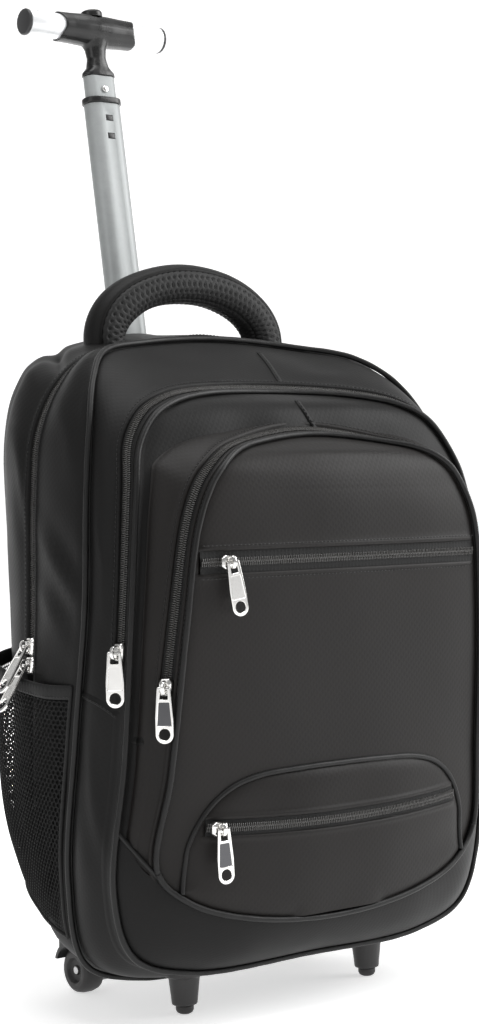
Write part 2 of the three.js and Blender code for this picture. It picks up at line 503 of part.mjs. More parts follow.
// ---------------------------------------------------------------- zips on the front
function frontStrip(points, lift, base) {
  const frames = points.map(([x, z], i) => {
    const [xa, za] = points[Math.max(i - 1, 0)], [xb, zb] = points[Math.min(i + 1, points.length - 1)];
    const t = V(xb - xa, frontFaceY(xb, zb) - frontFaceY(xa, za), zb - za).normalize();
    const n = V(0, -1, 0).sub(t.clone().multiplyScalar(-t.y)).normalize();
    return { p: V(x, frontFaceY(x, z) - lift, z), a: n.clone().cross(t).normalize(), n };
  });
  return largest(cut(sweep(frames, rect(ZIP_W, -4, ZIP_T - 0.6)), swell(base, GAP)));
}
const panelZipLine = range(0, 10).map(i => [lerp(-126, 126, i / 10), 321.5]);
const pocketZipLine = range(0, 10).map(i => { const x = lerp(-116, 116, i / 10); return [x, 138 + 4 * (x / 116) ** 2]; });

// ---------------------------------------------------------------- hard parts
const cylX = (r, x0, x1, y, z, seg = 20) => new THREE.CylinderGeometry(r, r, x1 - x0, seg)
  .rotateZ(Math.PI / 2).translate((x0 + x1) / 2, y, z);
function stadium(w, d, seg = 6) {        // flat oval outline, centred
  const s = new THREE.Shape(), r = d / 2, h = w / 2 - r;
  s.absarc(h, 0, r, -Math.PI / 2, Math.PI / 2, false);
  s.absarc(-h, 0, r, Math.PI / 2, Math.PI * 1.5, false);
  s.closePath();
  return s;
}
function ovalTube(o, from, to, hole = true) {
  const s = stadium(o.w, o.d);
  if (hole) s.holes.push(new THREE.Path(stadium(o.iw, o.id).getPoints(6).reverse()));
  return new THREE.ExtrudeGeometry(s, { depth: to - from, bevelEnabled: false, curveSegments: 6 }).translate(0, 0, from);
}
const poleSleeve = onPole(ovalTube(SLEEVE, SLEEVE.from, SLEEVE.to));
const poleBezel = cut(onPole(cut(ovalTube({ w: 54, d: 33 }, SLEEVE.to + 0.6, SLEEVE.to + 6.5, false),
  ovalTube({ w: 32.5, d: 18.5 }, SLEEVE.to - 5, SLEEVE.to + 12, false))), swell(mainOuter, GAP));
const slots = [12.5, 27.5].map(down => box(-3.4, 3.4, -12, -3, OUTER.to - down - 2.5, OUTER.to - down + 2.5));
const poleOuter = onPole(cut(ovalTube(OUTER, OUTER.from, OUTER.to), ...slots));
const poleCollar = onPole(ovalTube({ w: 34, d: 20, iw: 28.3, id: 14.3 }, OUTER.to + 0.3, OUTER.to + COLLAR_H));
const poleInner = onPole(ovalTube(INNER, INNER.from, INNER.to));
const gripScrew = onPole(new THREE.CylinderGeometry(3, 2.6, 1.4, 14)
  .translate(0, -INNER.d / 2 - 1.0, 616));

function loftStack(rows, x = 0, y = 0) {  // upright stack of flat-oval sections {z, w, d}
  const m = 20, pos = [], tri = [];
  rows.forEach(r => {
    for (let i = 0; i < m; i++) {
      const a = 2 * Math.PI * (i + 0.5) / m, c = Math.cos(a), s = Math.sin(a), rr = r.d / 2, h = Math.max(0, r.w / 2 - rr);
      pos.push(x + (Math.sign(c) * h * Math.min(1, Math.abs(c) * 2.5)) + rr * c, y + (r.dy ?? 0) + rr * s, r.z);
    }
  });
  for (let j = 0; j + 1 < rows.length; j++) for (let i = 0; i < m; i++) {
    const i2 = (i + 1) % m, b = j * m, c = (j + 1) * m;
    tri.push(b + i, b + i2, c + i2, b + i, c + i2, c + i);
  }
  const last = (rows.length - 1) * m;
  for (let i = 1; i + 1 < m; i++) { tri.push(0, i + 1, i); tri.push(last, last + i, last + i + 1); }
  return makeGeometry(pos, tri);
}
const neck = loftStack([{ z: INNER.to + 0.4, w: 29.5, d: 15.5 }, { z: INNER.to + 3.5, w: 28.5, d: 15 },
  { z: INNER.to + 8, w: 20, d: 14 }, { z: INNER.to + 16, w: 16, d: 13 }, { z: INNER.to + 24, w: 18, d: 15 },
  { z: INNER.to + 31, w: 25, d: 20 }, { z: GRIP_W, w: 28, d: 20 }]);
const hubBody = loftHub();
function loftHub() {                      // barrel along X, fuller in the middle
  const rows = [[-HUB_HALF - 2, 11.9], [-24, 12.2], [-12, 12.9], [0, 13.2], [12, 12.9], [24, 12.2], [HUB_HALF + 2, 11.9]];
  const pts = [new THREE.Vector2(0, rows[0][0]), ...rows.map(([x, r]) => new THREE.Vector2(r, x)), new THREE.Vector2(0, rows[6][0])];
  return new THREE.LatheGeometry(pts, 20).rotateZ(-Math.PI / 2).translate(0, 0, GRIP_W);
}
const scoop = s => new THREE.CylinderGeometry(15, 15, 60, 14).translate(s * 47.5, 0, GRIP_W);
const tubeBore = s => cylX(GRIP_R + 0.35, s > 0 ? 13.7 : -60, s > 0 ? 60 : -13.7, 0, GRIP_W);
const buttonWell = new THREE.CylinderGeometry(9.35, 9.35, 20, 24).rotateX(Math.PI / 2).translate(0, 0, GRIP_W + 17);
const gripHub = onPole(cut(join(hubBody, neck), scoop(1), scoop(-1), tubeBore(1), tubeBore(-1), buttonWell));
const gripButton = onPole(new THREE.LatheGeometry([[0, 0], [9, 0], [9, 4.6], [7.8, 5.8], [0, 6.3]]
  .map(([r, z]) => new THREE.Vector2(r, z)), 24).rotateX(Math.PI / 2).translate(0, 0, GRIP_W + 10.4));
const gripTube = s => {
  const a = s > 0 ? 14.2 : -GRIP_HALF + 2.2, b = s > 0 ? GRIP_HALF - 2.2 : -14.2;
  return onPole(cut(cylX(GRIP_R, a, b, 0, GRIP_W), cylX(GRIP_R - 1.6, a - 5, b + 5, 0, GRIP_W)));
};
const gripCap = s => {
  const p = [[0, 0], [8.5, 0], [8.5, 9.4], [10.6, 9.4], [10.6, 11], [9.6, 12], [0, 12.2]].map(([r, z]) => new THREE.Vector2(r, z));
  return onPole(new THREE.LatheGeometry(p, 18).rotateZ(-Math.PI / 2 * s).translate(s * (GRIP_HALF - 11.3), 0, GRIP_W));
};

// Wheels, their housings and the rear base.
function wheel(side) {
  const h = WHEEL_W / 2, p = [[AXLE_R + 0.35, -h + 3], [8, -h + 3], [9.5, -h], [13.6, -h], [16, -h + 1.8], [WHEEL_R, -h + 5.5],
    [WHEEL_R, h - 5.5], [16, h - 1.8], [13.6, h], [9.5, h], [8, h - 3], [AXLE_R + 0.35, h - 3], [AXLE_R + 0.35, -h + 3]]
    .map(([r, x]) => new THREE.Vector2(r, x));
  return new THREE.LatheGeometry(p, 22).rotateZ(-Math.PI / 2).translate(side * WHEEL_X, WHEEL_Y, WHEEL_R);
}
function skin(rings, ks, d0, d1) {        // plate following the outside of lofted rings
  const pos = [], tri = [], m = ks.length, q = rings.length;
  const normal = (i, k) => {
    const kk = (k + FULL) % FULL;
    const a = rings[Math.max(0, i - 1)][kk], b = rings[Math.min(q - 1, i + 1)][kk];
    const t = rings[i][(kk + 1) % FULL].clone().sub(rings[i][(kk + FULL - 1) % FULL]);
    const n = t.cross(b.clone().sub(a)).normalize();
    return n.dot(rings[i][kk].clone().sub(MIDDLE)) < 0 ? n.negate() : n;
  };
  for (const d of [d1, d0]) for (let i = 0; i < q; i++) for (const k of ks) {
    const p = rings[i][(k + FULL) % FULL].clone().addScaledVector(normal(i, k), d);
    pos.push(p.x, p.y, p.z);
  }
  const at = (s, i, c) => s * q * m + i * m + c, quad = (a, b, c, d) => tri.push(a, b, c, a, c, d);
  for (let i = 0; i + 1 < q; i++) for (let c = 0; c + 1 < m; c++) {
    quad(at(0, i, c), at(0, i, c + 1), at(0, i + 1, c + 1), at(0, i + 1, c));
    quad(at(1, i, c), at(1, i + 1, c), at(1, i + 1, c + 1), at(1, i, c + 1));
  }
  for (let c = 0; c + 1 < m; c++) {
    quad(at(0, 0, c), at(1, 0, c), at(1, 0, c + 1), at(0, 0, c + 1));
    quad(at(0, q - 1, c), at(0, q - 1, c + 1), at(1, q - 1, c + 1), at(1, q - 1, c));
  }
  for (let i = 0; i + 1 < q; i++) {
    quad(at(0, i, 0), at(0, i + 1, 0), at(1, i + 1, 0), at(1, i, 0));
    quad(at(0, i, m - 1), at(1, i, m - 1), at(1, i + 1, m - 1), at(0, i + 1, m - 1));
  }
  return makeGeometry(pos, tri);
}
const basePlate = largest(cut(skin([R.mainZip, R.rear, R.rearTurn, R.rearEdge, R.back], range(-3, 3), 0.8, 4.8),
  swell(mainOuter, GAP)));
function wheelHousing(side) {
  const X = WHEEL_X, y = WHEEL_Y, z = WHEEL_R, hw = WHEEL_W / 2 + 0.8;
  const cheek = join(cylX(10.5, X - hw - 9, X - hw, y, z, 20), box(X - hw - 9, X - hw, y - 16, y + 15, z + 2, 74));
  const cover = join(cylX(WHEEL_R + 5, X - hw - 0.5, X + hw + 2, y, z, 28), box(X - hw - 0.5, X + hw + 2, y - 17, y + 15, z + 6, 74));
  const well = cylX(WHEEL_R + 2.2, X - hw, X + hw + 5, y, z, 28);
  const below = box(X - hw - 1, X + hw + 5, y - 26, y + 26, -8, z + 6.5);
  let g = cut(join(cheek, cut(cover, well, below)), cylX(AXLE_R + 0.3, X - hw - 7, X + 30, y, z, 16));
  if (side < 0) g = mirrored(g);
  return largest(cut(g, swell(mainOuter, 0.6)));
}
function mirrored(g) {
  const m = g.clone().applyMatrix4(new THREE.Matrix4().makeScale(-1, 1, 1)), idx = Array.from(m.index.array);
  for (let i = 0; i < idx.length; i += 3) [idx[i + 1], idx[i + 2]] = [idx[i + 2], idx[i + 1]];
  m.setIndex(idx); m.computeVertexNormals();
  return m;
}
const wheelAxle = s => cylX(AXLE_R, s > 0 ? WHEEL_X - 16.4 : -WHEEL_X - WHEEL_W / 2 + 1.5, s > 0 ? WHEEL_X + WHEEL_W / 2 - 1.5 : -WHEEL_X + 16.4, WHEEL_Y, WHEEL_R, 16);

const leg = s => largest(cut(loftStack([{ z: GLIDE_H + 0.4, w: 19, d: 17 }, { z: 12, w: 20, d: 18 }, { z: 27, w: 22, d: 23 },
  { z: 27.4, w: 32, d: 29 }, { z: 42, w: 32, d: 29 }], s * LEG_X, LEG_Y), swell(midOuter, GAP), swell(mainOuter, GAP)));
const glide = s => new THREE.LatheGeometry([[0, 0], [3.6, 0], [5.6, 1.1], [GLIDE_R, 3], [GLIDE_R, GLIDE_H], [0, GLIDE_H]]
  .map(([r, z]) => new THREE.Vector2(r, z)), 20).rotateX(Math.PI / 2).translate(s * LEG_X, LEG_Y, 0);

// Zip slider and its pull. Local frame: x across the zip, y out of the cloth, z along the pull.
const PIVOT_OUT = 6.6, SLIDER_BASE = 0.95;
function sliderGeometry(turned) {
  const body = box(-5, 5, SLIDER_BASE, 4.4, -6, 6);
  const s = new THREE.Shape([[-4.2, 0], [4.2, 0], [4.2, 3.9], [2.8, 5.2], [-2.8, 5.2], [-4.2, 3.9]].map(([a, b]) => new THREE.Vector2(a, b)));
  s.holes.push(new THREE.Path([[-2.7, 0.9], [-2.7, 3.4], [-1.9, 4.1], [1.9, 4.1], [2.7, 3.4], [2.7, 0.9]].map(([a, b]) => new THREE.Vector2(a, b))));
  const bail = new THREE.ExtrudeGeometry(s, { depth: 2.4, bevelEnabled: false }).translate(0, 0, -1.2)
    .rotateY(Math.PI / 2).translate(0, 4.2, 0);
  return join(turned ? body.rotateY(Math.PI / 2) : body, bail);
}
function pullGeometry() {
  const w = PULL.w / 2, r = w, b = -PULL.len + PULL.bar / 2, top = PULL.bar / 2;
  const s = new THREE.Shape();
  s.moveTo(-w + 1.6, top); s.lineTo(w - 1.6, top); s.lineTo(w - 0.4, top - 1.6); s.lineTo(w, -12); s.lineTo(w, b + r);
  s.absarc(0, b + r, r, 0, -Math.PI, true); s.lineTo(-w, -12); s.lineTo(-w + 0.4, top - 1.6); s.closePath();
  const slot = new THREE.Path();
  const sw = PULL.slotW / 2;
  slot.moveTo(-sw, -PULL.bar / 2); slot.lineTo(-sw, -PULL.bar / 2 - PULL.slotH); slot.lineTo(sw, -PULL.bar / 2 - PULL.slotH); slot.lineTo(sw, -PULL.bar / 2); slot.closePath();
  const hole = new THREE.Path(); hole.absarc(0, b + r, PULL.holeR, 0, Math.PI * 2, false);
  s.holes.push(slot, hole);
  return new THREE.ExtrudeGeometry(s, { depth: PULL.t, bevelEnabled: false, curveSegments: 5 })
    .translate(0, 0, -PULL.t / 2).rotateX(Math.PI / 2);
}
// x = across, y = out, z = up along the hanging pull
function basis(a, n, u, p) { return new THREE.Matrix4().makeBasis(a, n, u).setPosition(p.x, p.y, p.z); }
function slider(frame, turned = false) {
  const u = V(0, 0, 1).sub(frame.n.clone().multiplyScalar(frame.n.z)).normalize();
  const a = frame.n.clone().cross(u).normalize();
  return { g: sliderGeometry(turned).applyMatrix4(basis(a, frame.n, u, frame.p)), pivot: frame.p.clone().addScaledVector(frame.n, PIVOT_OUT), a, n: frame.n };
}
function pull(at, lean = 0, twist = 0) {  // hangs down from the bail, leaning out by lean radians
  const out = V(at.n.x, at.n.y, 0).normalize(), a = out.clone().cross(V(0, 0, 1)).normalize();
  const m = basis(a, out, V(0, 0, 1), at.pivot);
  return pullGeometry().rotateX(Math.PI / 2).rotateX(-Math.PI / 2).applyMatrix4(
    new THREE.Matrix4().makeRotationX(lean)).applyMatrix4(m);
}
const frameAtZ = (frames, z) => {        // on the left run of a zip
  const f = frames.filter(q => q.p.x < 0);
  for (let i = 1; i < f.length; i++) if (f[i].p.z <= z) {
    const t = (z - f[i - 1].p.z) / (f[i].p.z - f[i - 1].p.z);
    return { p: f[i - 1].p.clone().lerp(f[i].p, t), n: f[i].n.clone() };
  }
  return { p: f[f.length - 1].p.clone().setZ(z), n: f[f.length - 1].n.clone() };
};
const onFront = (x, z, lift) => ({ p: V(x, frontFaceY(x, z) - lift, z), n: V(x / 900, -1, 0).normalize() });
const sMainA = slider(frameAtZ(mainZipFrames, 263.5)), sMainB = slider(frameAtZ(mainZipFrames, 250));
const sMid = slider(frameAtZ(midZipFrames, 262.5)), sFront = slider(frameAtZ(frontZipFrames, 239));
const sPanel = slider(onFront(-104, 321.5, 1.4), true), sPocket = slider(onFront(-108, 141.5, 7.6), true);

// ---------------------------------------------------------------- assembly
const cloth = (color, rough = 0.9) => new THREE.MeshStandardMaterial({ color, roughness: rough, metalness: 0 });
const M = {
  fabric: cloth(0x1d1c1c), panel: cloth(0x2b2928), trim: cloth(0x161616, 0.7), tape: cloth(0x222222),
  mesh: cloth(0x181818), pad: cloth(0x202020), plastic: cloth(0x17181a, 0.45), rubber: cloth(0x1b1b1b, 0.8),
  nickel: new THREE.MeshStandardMaterial({ color: 0xc9c9c8, roughness: 0.2, metalness: 1 }),
  alu: new THREE.MeshStandardMaterial({ color: 0xa3a6a8, roughness: 0.38, metalness: 0.85 }),
  silver: new THREE.MeshStandardMaterial({ color: 0xdedfe0, roughness: 0.3, metalness: 0.6 }),
};
const bag = new THREE.Group();
bag.position.set(SHIFT_X, SHIFT_Y, 0);
const add = (name, geometry, material, about = {}) => {
  const mesh = new THREE.Mesh(geometry, material); mesh.name = name; mesh.userData = about; bag.add(mesh);
};

add('main_shell', mainShell, M.fabric);
add('mid_shell', midShell, M.fabric);
const kickPanelG = kickPanel();
add('front_shell', frontShell, M.panel);
add('kick_panel', kickPanelG, M.fabric);
add('arc_pocket', arcPocketG, M.panel);
add('piping_main', pipingMain, M.trim);
add('piping_mid', pipingMid, M.trim);
add('piping_front', pipingFront, M.trim);
add('zip_main', zipStrips.main, M.tape);
add('zip_mid', zipStrips.mid, M.tape);
add('zip_front', zipStrips.front, M.tape);
add('zip_panel', frontStrip(panelZipLine, 0, frontOuter), M.tape);
add('zip_pocket', frontStrip(pocketZipLine, 6, arcPocketG), M.tape);
const sliders = { main_upper: sMainA, main_lower: sMainB, mid: sMid, front: sFront, panel: sPanel, pocket: sPocket };
const pullLean = { main_upper: 0.57, main_lower: 0.58 };
for (const [k, s] of Object.entries(sliders)) {
  add(`slider_${k}`, s.g, M.nickel);
  const out = V(s.n.x, s.n.y, 0).normalize();   // swings about the bail: pivot and axis kept with the piece
  add(`pull_${k}`, pull(s, pullLean[k] ?? 0), M.nickel, { pivot: s.pivot.toArray(), axis: out.cross(V(0, 0, 1)).toArray() });
}
add('mesh_pocket_left', meshPocket(-1), M.mesh);
add('mesh_pocket_right', meshPocket(1), M.mesh);
add('grab_handle', grabHandle(), M.pad);
add('back_panel', backPanel, M.pad);
add('strap_left', strapSweep(strapRows, -1, STRAP.padW, STRAP.padT), M.pad);
add('strap_right', strapSweep(strapRows, 1, STRAP.padW, STRAP.padT), M.pad);
add('webbing_left', strapSweep(webRows, -1, STRAP.webW, STRAP.webT), M.trim);
add('webbing_right', strapSweep(webRows, 1, STRAP.webW, STRAP.webT), M.trim);
const housings = [wheelHousing(-1), wheelHousing(1)];
add('base_plate', largest(cut(basePlate, ...housings.map(h => swell(h, 0.6)))), M.plastic);
add('wheel_housing_left', housings[0], M.plastic);
add('wheel_housing_right', housings[1], M.plastic);
add('wheel_axle_left', wheelAxle(-1), M.alu);
add('wheel_axle_right', wheelAxle(1), M.alu);
add('wheel_left', wheel(-1), M.rubber);
add('wheel_right', wheel(1), M.rubber);
add('leg_left', leg(-1), M.plastic);
add('leg_right', leg(1), M.plastic);
add('glide_left', glide(-1), M.rubber);
add('glide_right', glide(1), M.rubber);
add('pole_sleeve', poleSleeve, M.alu);
add('pole_bezel', poleBezel, M.plastic);
add('pole_outer', poleOuter, M.alu);
add('pole_collar', poleCollar, M.plastic);
add('pole_inner', poleInner, M.alu);
add('grip_screw', gripScrew, M.nickel);
add('grip_hub', gripHub, M.plastic);
add('grip_button', gripButton, M.plastic);
add('grip_tube_left', gripTube(-1), M.silver);
add('grip_tube_right', gripTube(1), M.silver);
add('grip_cap_left', gripCap(-1), M.plastic);
add('grip_cap_right', gripCap(1), M.plastic);

export default bag;
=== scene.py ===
import json
import math
import bpy
import numpy as np
from mathutils import Matrix, Vector


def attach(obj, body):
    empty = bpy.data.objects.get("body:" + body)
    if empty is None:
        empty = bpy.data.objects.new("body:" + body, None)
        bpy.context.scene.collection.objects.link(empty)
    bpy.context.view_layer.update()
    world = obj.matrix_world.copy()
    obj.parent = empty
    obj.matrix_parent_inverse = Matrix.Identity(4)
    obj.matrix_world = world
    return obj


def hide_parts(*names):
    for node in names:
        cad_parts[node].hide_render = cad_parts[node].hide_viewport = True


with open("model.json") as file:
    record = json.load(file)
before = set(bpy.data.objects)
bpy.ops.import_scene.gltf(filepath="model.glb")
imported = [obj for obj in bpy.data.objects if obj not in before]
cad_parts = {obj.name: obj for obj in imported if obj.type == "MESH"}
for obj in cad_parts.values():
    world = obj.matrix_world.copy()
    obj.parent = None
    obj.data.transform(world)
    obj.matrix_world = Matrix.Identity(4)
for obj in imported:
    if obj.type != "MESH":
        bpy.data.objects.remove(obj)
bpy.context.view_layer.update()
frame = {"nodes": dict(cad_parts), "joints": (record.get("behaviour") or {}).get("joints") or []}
NODES = frame["nodes"]

# ------------------------------------------------------------------ sizes (mm, the part's own frame)
SX, SY = 8.1, -12.6                       # from the part's own frame to the row frame
LEAN, BACK_Y75, BACK_PANEL_T = 0.155, 68.0, 11.0
PIPING_R, ZIP_BEHIND = 2.1, 10.0
MAIN_END, MID_END, FRONT_END = 243.5, 255.5, 231.0
TURN = 42.0                               # ring parameter: 0 middle of the base, 21 top, 42 base again
RUNS = ((0, 3, 5), (3, 7, 7), (7, 11, 9))

SECTION = {
    "frontPiping": [(0, 69, -118), (78, 76.5, -116), (124, 92, -110), (146, 114, -105), (141, 180, -117), (134, 280, -130),
                    (126, 345, -135), (114, 372, -134.5), (103, 385, -133.5), (87, 395, -127), (58, 402, -115), (0, 408, -105)],
    "midPiping": [(0, 37, -84), (106, 39, -84), (152, 56, -84), (168, 100, -87), (162.5, 190, -96), (158.5, 290, -103),
                  (150, 372, -100), (142, 400, -92), (127, 420, -87), (108, 430, -82), (70, 437.5, -70), (0, 440, -60)],
    "mainSeam": [(0, 27, -33), (115, 29, -33), (157, 45, -33), (171, 105, -37), (171, 200, -50), (168.5, 290, -62),
                 (164, 370, -61), (157, 415, -56), (141, 450, -38), (118, 470, -17), (71, 479, 1), (0, 484, 7)],
    "mainZip": [(0, 36, 6), (120, 43, 6), (158, 62, 6), (171, 115, 6), (171, 200, 7), (168, 290, 7), (165, 374, 7),
                (160, 414, 7), (144, 445, 8), (123, 465, 9), (91, 476, 15), (0, 486, 24)],
    "rear": [(0, 52, 33), (115, 57, 33), (152, 75, 33), (165, 120, 33), (166, 200, 33), (165, 290, 33), (164, 370, 34),
             (160, 414, 36), (146, 446, 38), (121, 467, 40), (88, 479, 40), (0, 489, 44)],
    "rearTurn": [(0, 66, 54), (95, 70, 54), (134, 86, 54), (149, 130, 56), (150, 200, 57), (149, 290, 60), (148, 375, 62),
                 (145, 416, 64), (137, 447, 66), (120, 466, 68), (90, 480, 72), (0, 491, 78)],
    "rearEdge": [(0, 71, 62), (90, 76, 62), (122, 94, 64), (134, 140, 71), (134, 200, 78), (132, 290, 88), (131, 375, 98),
                 (128, 414, 102), (118, 444, 106), (100, 465, 109), (70, 478, 112), (0, 487, 114)],
    "back": [(0, 76), (70, 80), (98, 92), (110, 130), (112, 200), (112, 290), (110, 375), (107, 412), (95, 440), (74, 461),
             (50, 471), (0, 477)],
}
FRONT_MIDDLE = [(69, -118), (112, -123), (200, -128), (290, -137), (345, -140), (372, -139.5), (395, -131), (402, -118),
                (408, -105)]
ARC_POCKET = [(0, 76), (60, 79.5), (98, 89), (120, 100), (126, 112), (127, 126), (121, 142), (110, 157), (94, 168), (72, 174),
              (38, 176), (0, 176.5)]
MESH_POCKET = [("pocketFront", 62, 238, 0), ("mainSide", 66, 238, 4.5), ("mainZip", 74, 241, 6), ("rear", 90, 249, 12),
               ("rearTurn", 104, 255, 13), ("rearEdge", 122, 258, 0)]


def back_y(z):
    return BACK_Y75 + (np.asarray(z, float) - 75) * LEAN


# ------------------------------------------------------------------ curves
def catmull(P, t):
    """Centripetal curve through the points P at the parameters t."""
    P, t = np.asarray(P, float), np.asarray(t, float)
    n = len(P)
    i = np.clip(np.floor(t).astype(int), 0, n - 2)
    w = (t - i)[:, None]
    ext = np.vstack([2 * P[0] - P[1], P, 2 * P[-1] - P[-2]])
    p0, p1, p2, p3 = ext[i], ext[i + 1], ext[i + 2], ext[i + 3]
    gap = lambda a, b: np.maximum(np.linalg.norm(a - b, axis=1) ** 0.5, 1e-4)[:, None]
    d0, d1, d2 = gap(p0, p1), gap(p1, p2), gap(p2, p3)
    m1 = ((p1 - p0) / d0 - (p2 - p0) / (d0 + d1) + (p2 - p1) / d1) * d1
    m2 = ((p2 - p1) / d1 - (p3 - p1) / (d1 + d2) + (p3 - p2) / d2) * d1
    return p1 + w * (m1 + w * (-3 * p1 + 3 * p2 - 2 * m1 - m2 + w * (2 * p1 - 2 * p2 + m1 + m2)))


def half_table(row):
    """Dense half ring: parameter 0..21 and points."""
    pts = np.array([(r[0], r[2] if len(r) > 2 else float(back_y(r[1])), r[1]) for r in row], float)
    mir = pts * [-1, 1, 1]
    P = np.vstack([mir[1], pts, mir[-2]])
    ss, pp, base = [], [], 0
    for a, b, steps in RUNS:
        d = catmull(P, 1 + np.linspace(a, b, 161))
        L = np.concatenate([[0], np.cumsum(np.linalg.norm(np.diff(d, axis=0), axis=1))])
        ss.append(base + steps * L / L[-1])
        pp.append(d)
        base += steps
    ss = np.concatenate([ss[0], ss[1][1:], ss[2][1:]])
    pp = np.vstack([pp[0], pp[1][1:], pp[2][1:]])
    pp[0, 0] = pp[-1, 0] = 0
    return ss, pp


HALF = {k: half_table(v) for k, v in SECTION.items()}


def ring(name, s):
    """Points of a section at the ring parameters s (0..42)."""
    s = np.mod(np.asarray(s, float), TURN)
    left = s > TURN / 2
    h = np.where(left, TURN - s, s)
    ss, pp = HALF[name]
    q = np.stack([np.interp(h, ss, pp[:, k]) for k in range(3)], 1)
    q[left, 0] *= -1
    return q


def unit(v):
    return v / np.maximum(np.linalg.norm(v, axis=-1, keepdims=True), 1e-9)


def toward(a, b, d):
    return a + unit(b - a) * d


def look(rows, z):
    r = np.array(rows, float)
    return np.interp(z, r[:, 0], r[:, 1])


MID_Z, MID_Y = HALF["midPiping"][1][:, 2], HALF["midPiping"][1][:, 1]
FP_Z, FP_Y, FP_X = HALF["frontPiping"][1][:, 2], HALF["frontPiping"][1][:, 1], HALF["frontPiping"][1][:, 0]


def front_base(s):
    m, f = ring("midPiping", s), ring("frontPiping", s)
    t = 0.25 + 0.45 * np.clip((m[:, 2] - 396) / 40, 0, 1)
    q = m + (f - m) * t[:, None]
    q[:, 1] = np.interp(q[:, 2], MID_Z, MID_Y) - 2
    return q


def main_side(s):
    q = (ring("mainSeam", s) + ring("mainZip", s)) / 2
    q[:, 0] += np.sign(q[:, 0]) * 1.5
    return q


def section(name, s):
    if name == "mainSide":
        return main_side(s)
    if name == "pocketFront":
        return toward(ring("mainSeam", s), ring("mainZip", s), 9)
    return ring(name, s)


def front_face_y(x, z):
    edge, w = np.interp(z, FP_Z, FP_Y), np.maximum(np.interp(z, FP_Z, FP_X), 1)
    z = np.asarray(z, float)
    reach = np.clip(np.minimum(z - 69, 402 - z) * 0.8, 0, 26)
    mid = sum(look(FRONT_MIDDLE, z + reach * o) * (1.001 - abs(o)) for o in np.linspace(-1, 1, 11)) / sum(1.001 - abs(o) for o in np.linspace(-1, 1, 11))
    return edge + (mid - edge) * np.maximum(0, 1 - (x / w) ** 2)


def smooth(a, b, x):
    t = np.clip((np.asarray(x, float) - a) / (b - a), 0, 1)
    return t * t * (3 - 2 * t)


def bump(x, c, w):
    return np.exp(-(((np.asarray(x, float) - c) / w) ** 2))


def soft_noise(P, scale, seed):
    """Cheap smooth noise of points P (mm), about -1..1, with features of size scale."""
    rng = np.random.default_rng(seed)
    out = np.zeros(np.shape(P)[:-1])
    for k in range(7):
        d = rng.normal(size=3)
        d /= np.linalg.norm(d)
        f = 2 * math.pi / (scale * rng.uniform(0.7, 1.6))
        out += np.sin(P @ d * f + rng.uniform(0, 6.28))
    return out / 3.6


# ------------------------------------------------------------------ the view the shape was measured in
AZ, PITCH, ROLL, FPX = math.radians(-38.0), math.radians(0.15), math.radians(-1.51), 2109.23
C = np.array([-969.26, -1258.58, 358.5]) + [SX, SY, 0]
fwd = np.array([-math.sin(AZ) * math.cos(PITCH), math.cos(AZ) * math.cos(PITCH), -math.sin(PITCH)])
right = np.array([math.cos(AZ), math.sin(AZ), 0])
upv = np.cross(right, fwd)
rr = right * math.cos(ROLL) + upv * math.sin(ROLL)
uu = -right * math.sin(ROLL) + upv * math.cos(ROLL)
EYE = C - [SX, SY, 0]


def seen_at(P):
    """Where points (own frame, mm) fall in the picture."""
    d = np.asarray(P, float) - EYE
    z = d @ fwd
    return 239.5 + FPX * (d @ rr) / z, 512 - FPX * (d @ uu) / z


def fold(u, v, line, w, h, side=1.0, trough=0.8):
    """A soft ridge along a line of the picture with a hollow beside it."""
    L = np.array(line, float)
    best, sd, tt = np.full(np.shape(u), 1e9), np.zeros(np.shape(u)), np.zeros(np.shape(u))
    lens = np.linalg.norm(np.diff(L, axis=0), axis=1)
    at = np.concatenate([[0], np.cumsum(lens)]) / lens.sum()
    for i in range(len(L) - 1):
        d = (L[i + 1] - L[i]) / lens[i]
        pu, pv = u - L[i, 0], v - L[i, 1]
        t = np.clip(pu * d[0] + pv * d[1], 0, lens[i])
        qu, qv = pu - t * d[0], pv - t * d[1]
        r = np.hypot(qu, qv)
        m = r < best
        best = np.where(m, r, best)
        sd = np.where(m, np.sign(pu * d[1] - pv * d[0]) * r, sd)
        tt = np.where(m, at[i] + t / lens[i] * (at[i + 1] - at[i]), tt)
    ends = np.sin(math.pi * np.clip(tt, 0.02, 0.98)) ** 0.6
    sd = sd * side
    return h * ends * (np.exp(-(sd / w) ** 2) - trough * np.exp(-((sd - 1.8 * w) / (1.3 * w)) ** 2))


FOLDS = {
    "main_body_v": [([(40, 520), (58, 560), (84, 612)], 7, 1.9, 1), ([(42, 585), (60, 622), (70, 660)], 6, 1.1, 1),
                    ([(18, 430), (24, 480), (30, 530)], 5, 1.6, -1), ([(60, 402), (74, 440), (80, 490)], 8, 1.3, 1),
                    ([(70, 735), (80, 800), (98, 870)], 7, 1.0, -1), ([(200, 352), (255, 366), (330, 378)], 8, 0.9, 1)],
    "mid_body_v": [([(100, 520), (108, 570), (104, 620)], 5, 1.0, 1), ([(92, 735), (96, 800), (106, 870)], 6, 1.2, -1),
                   ([(150, 470), (176, 446), (196, 440)], 8, 1.0, 1)],
    "front_body_v": [([(140, 640), (146, 690), (142, 740)], 5, 0.9, 1)],
}
DENTS = {"main_body_v": [(56, 357, 8, 13, -7.5), (34, 377, 10, 12, 2.0)]}


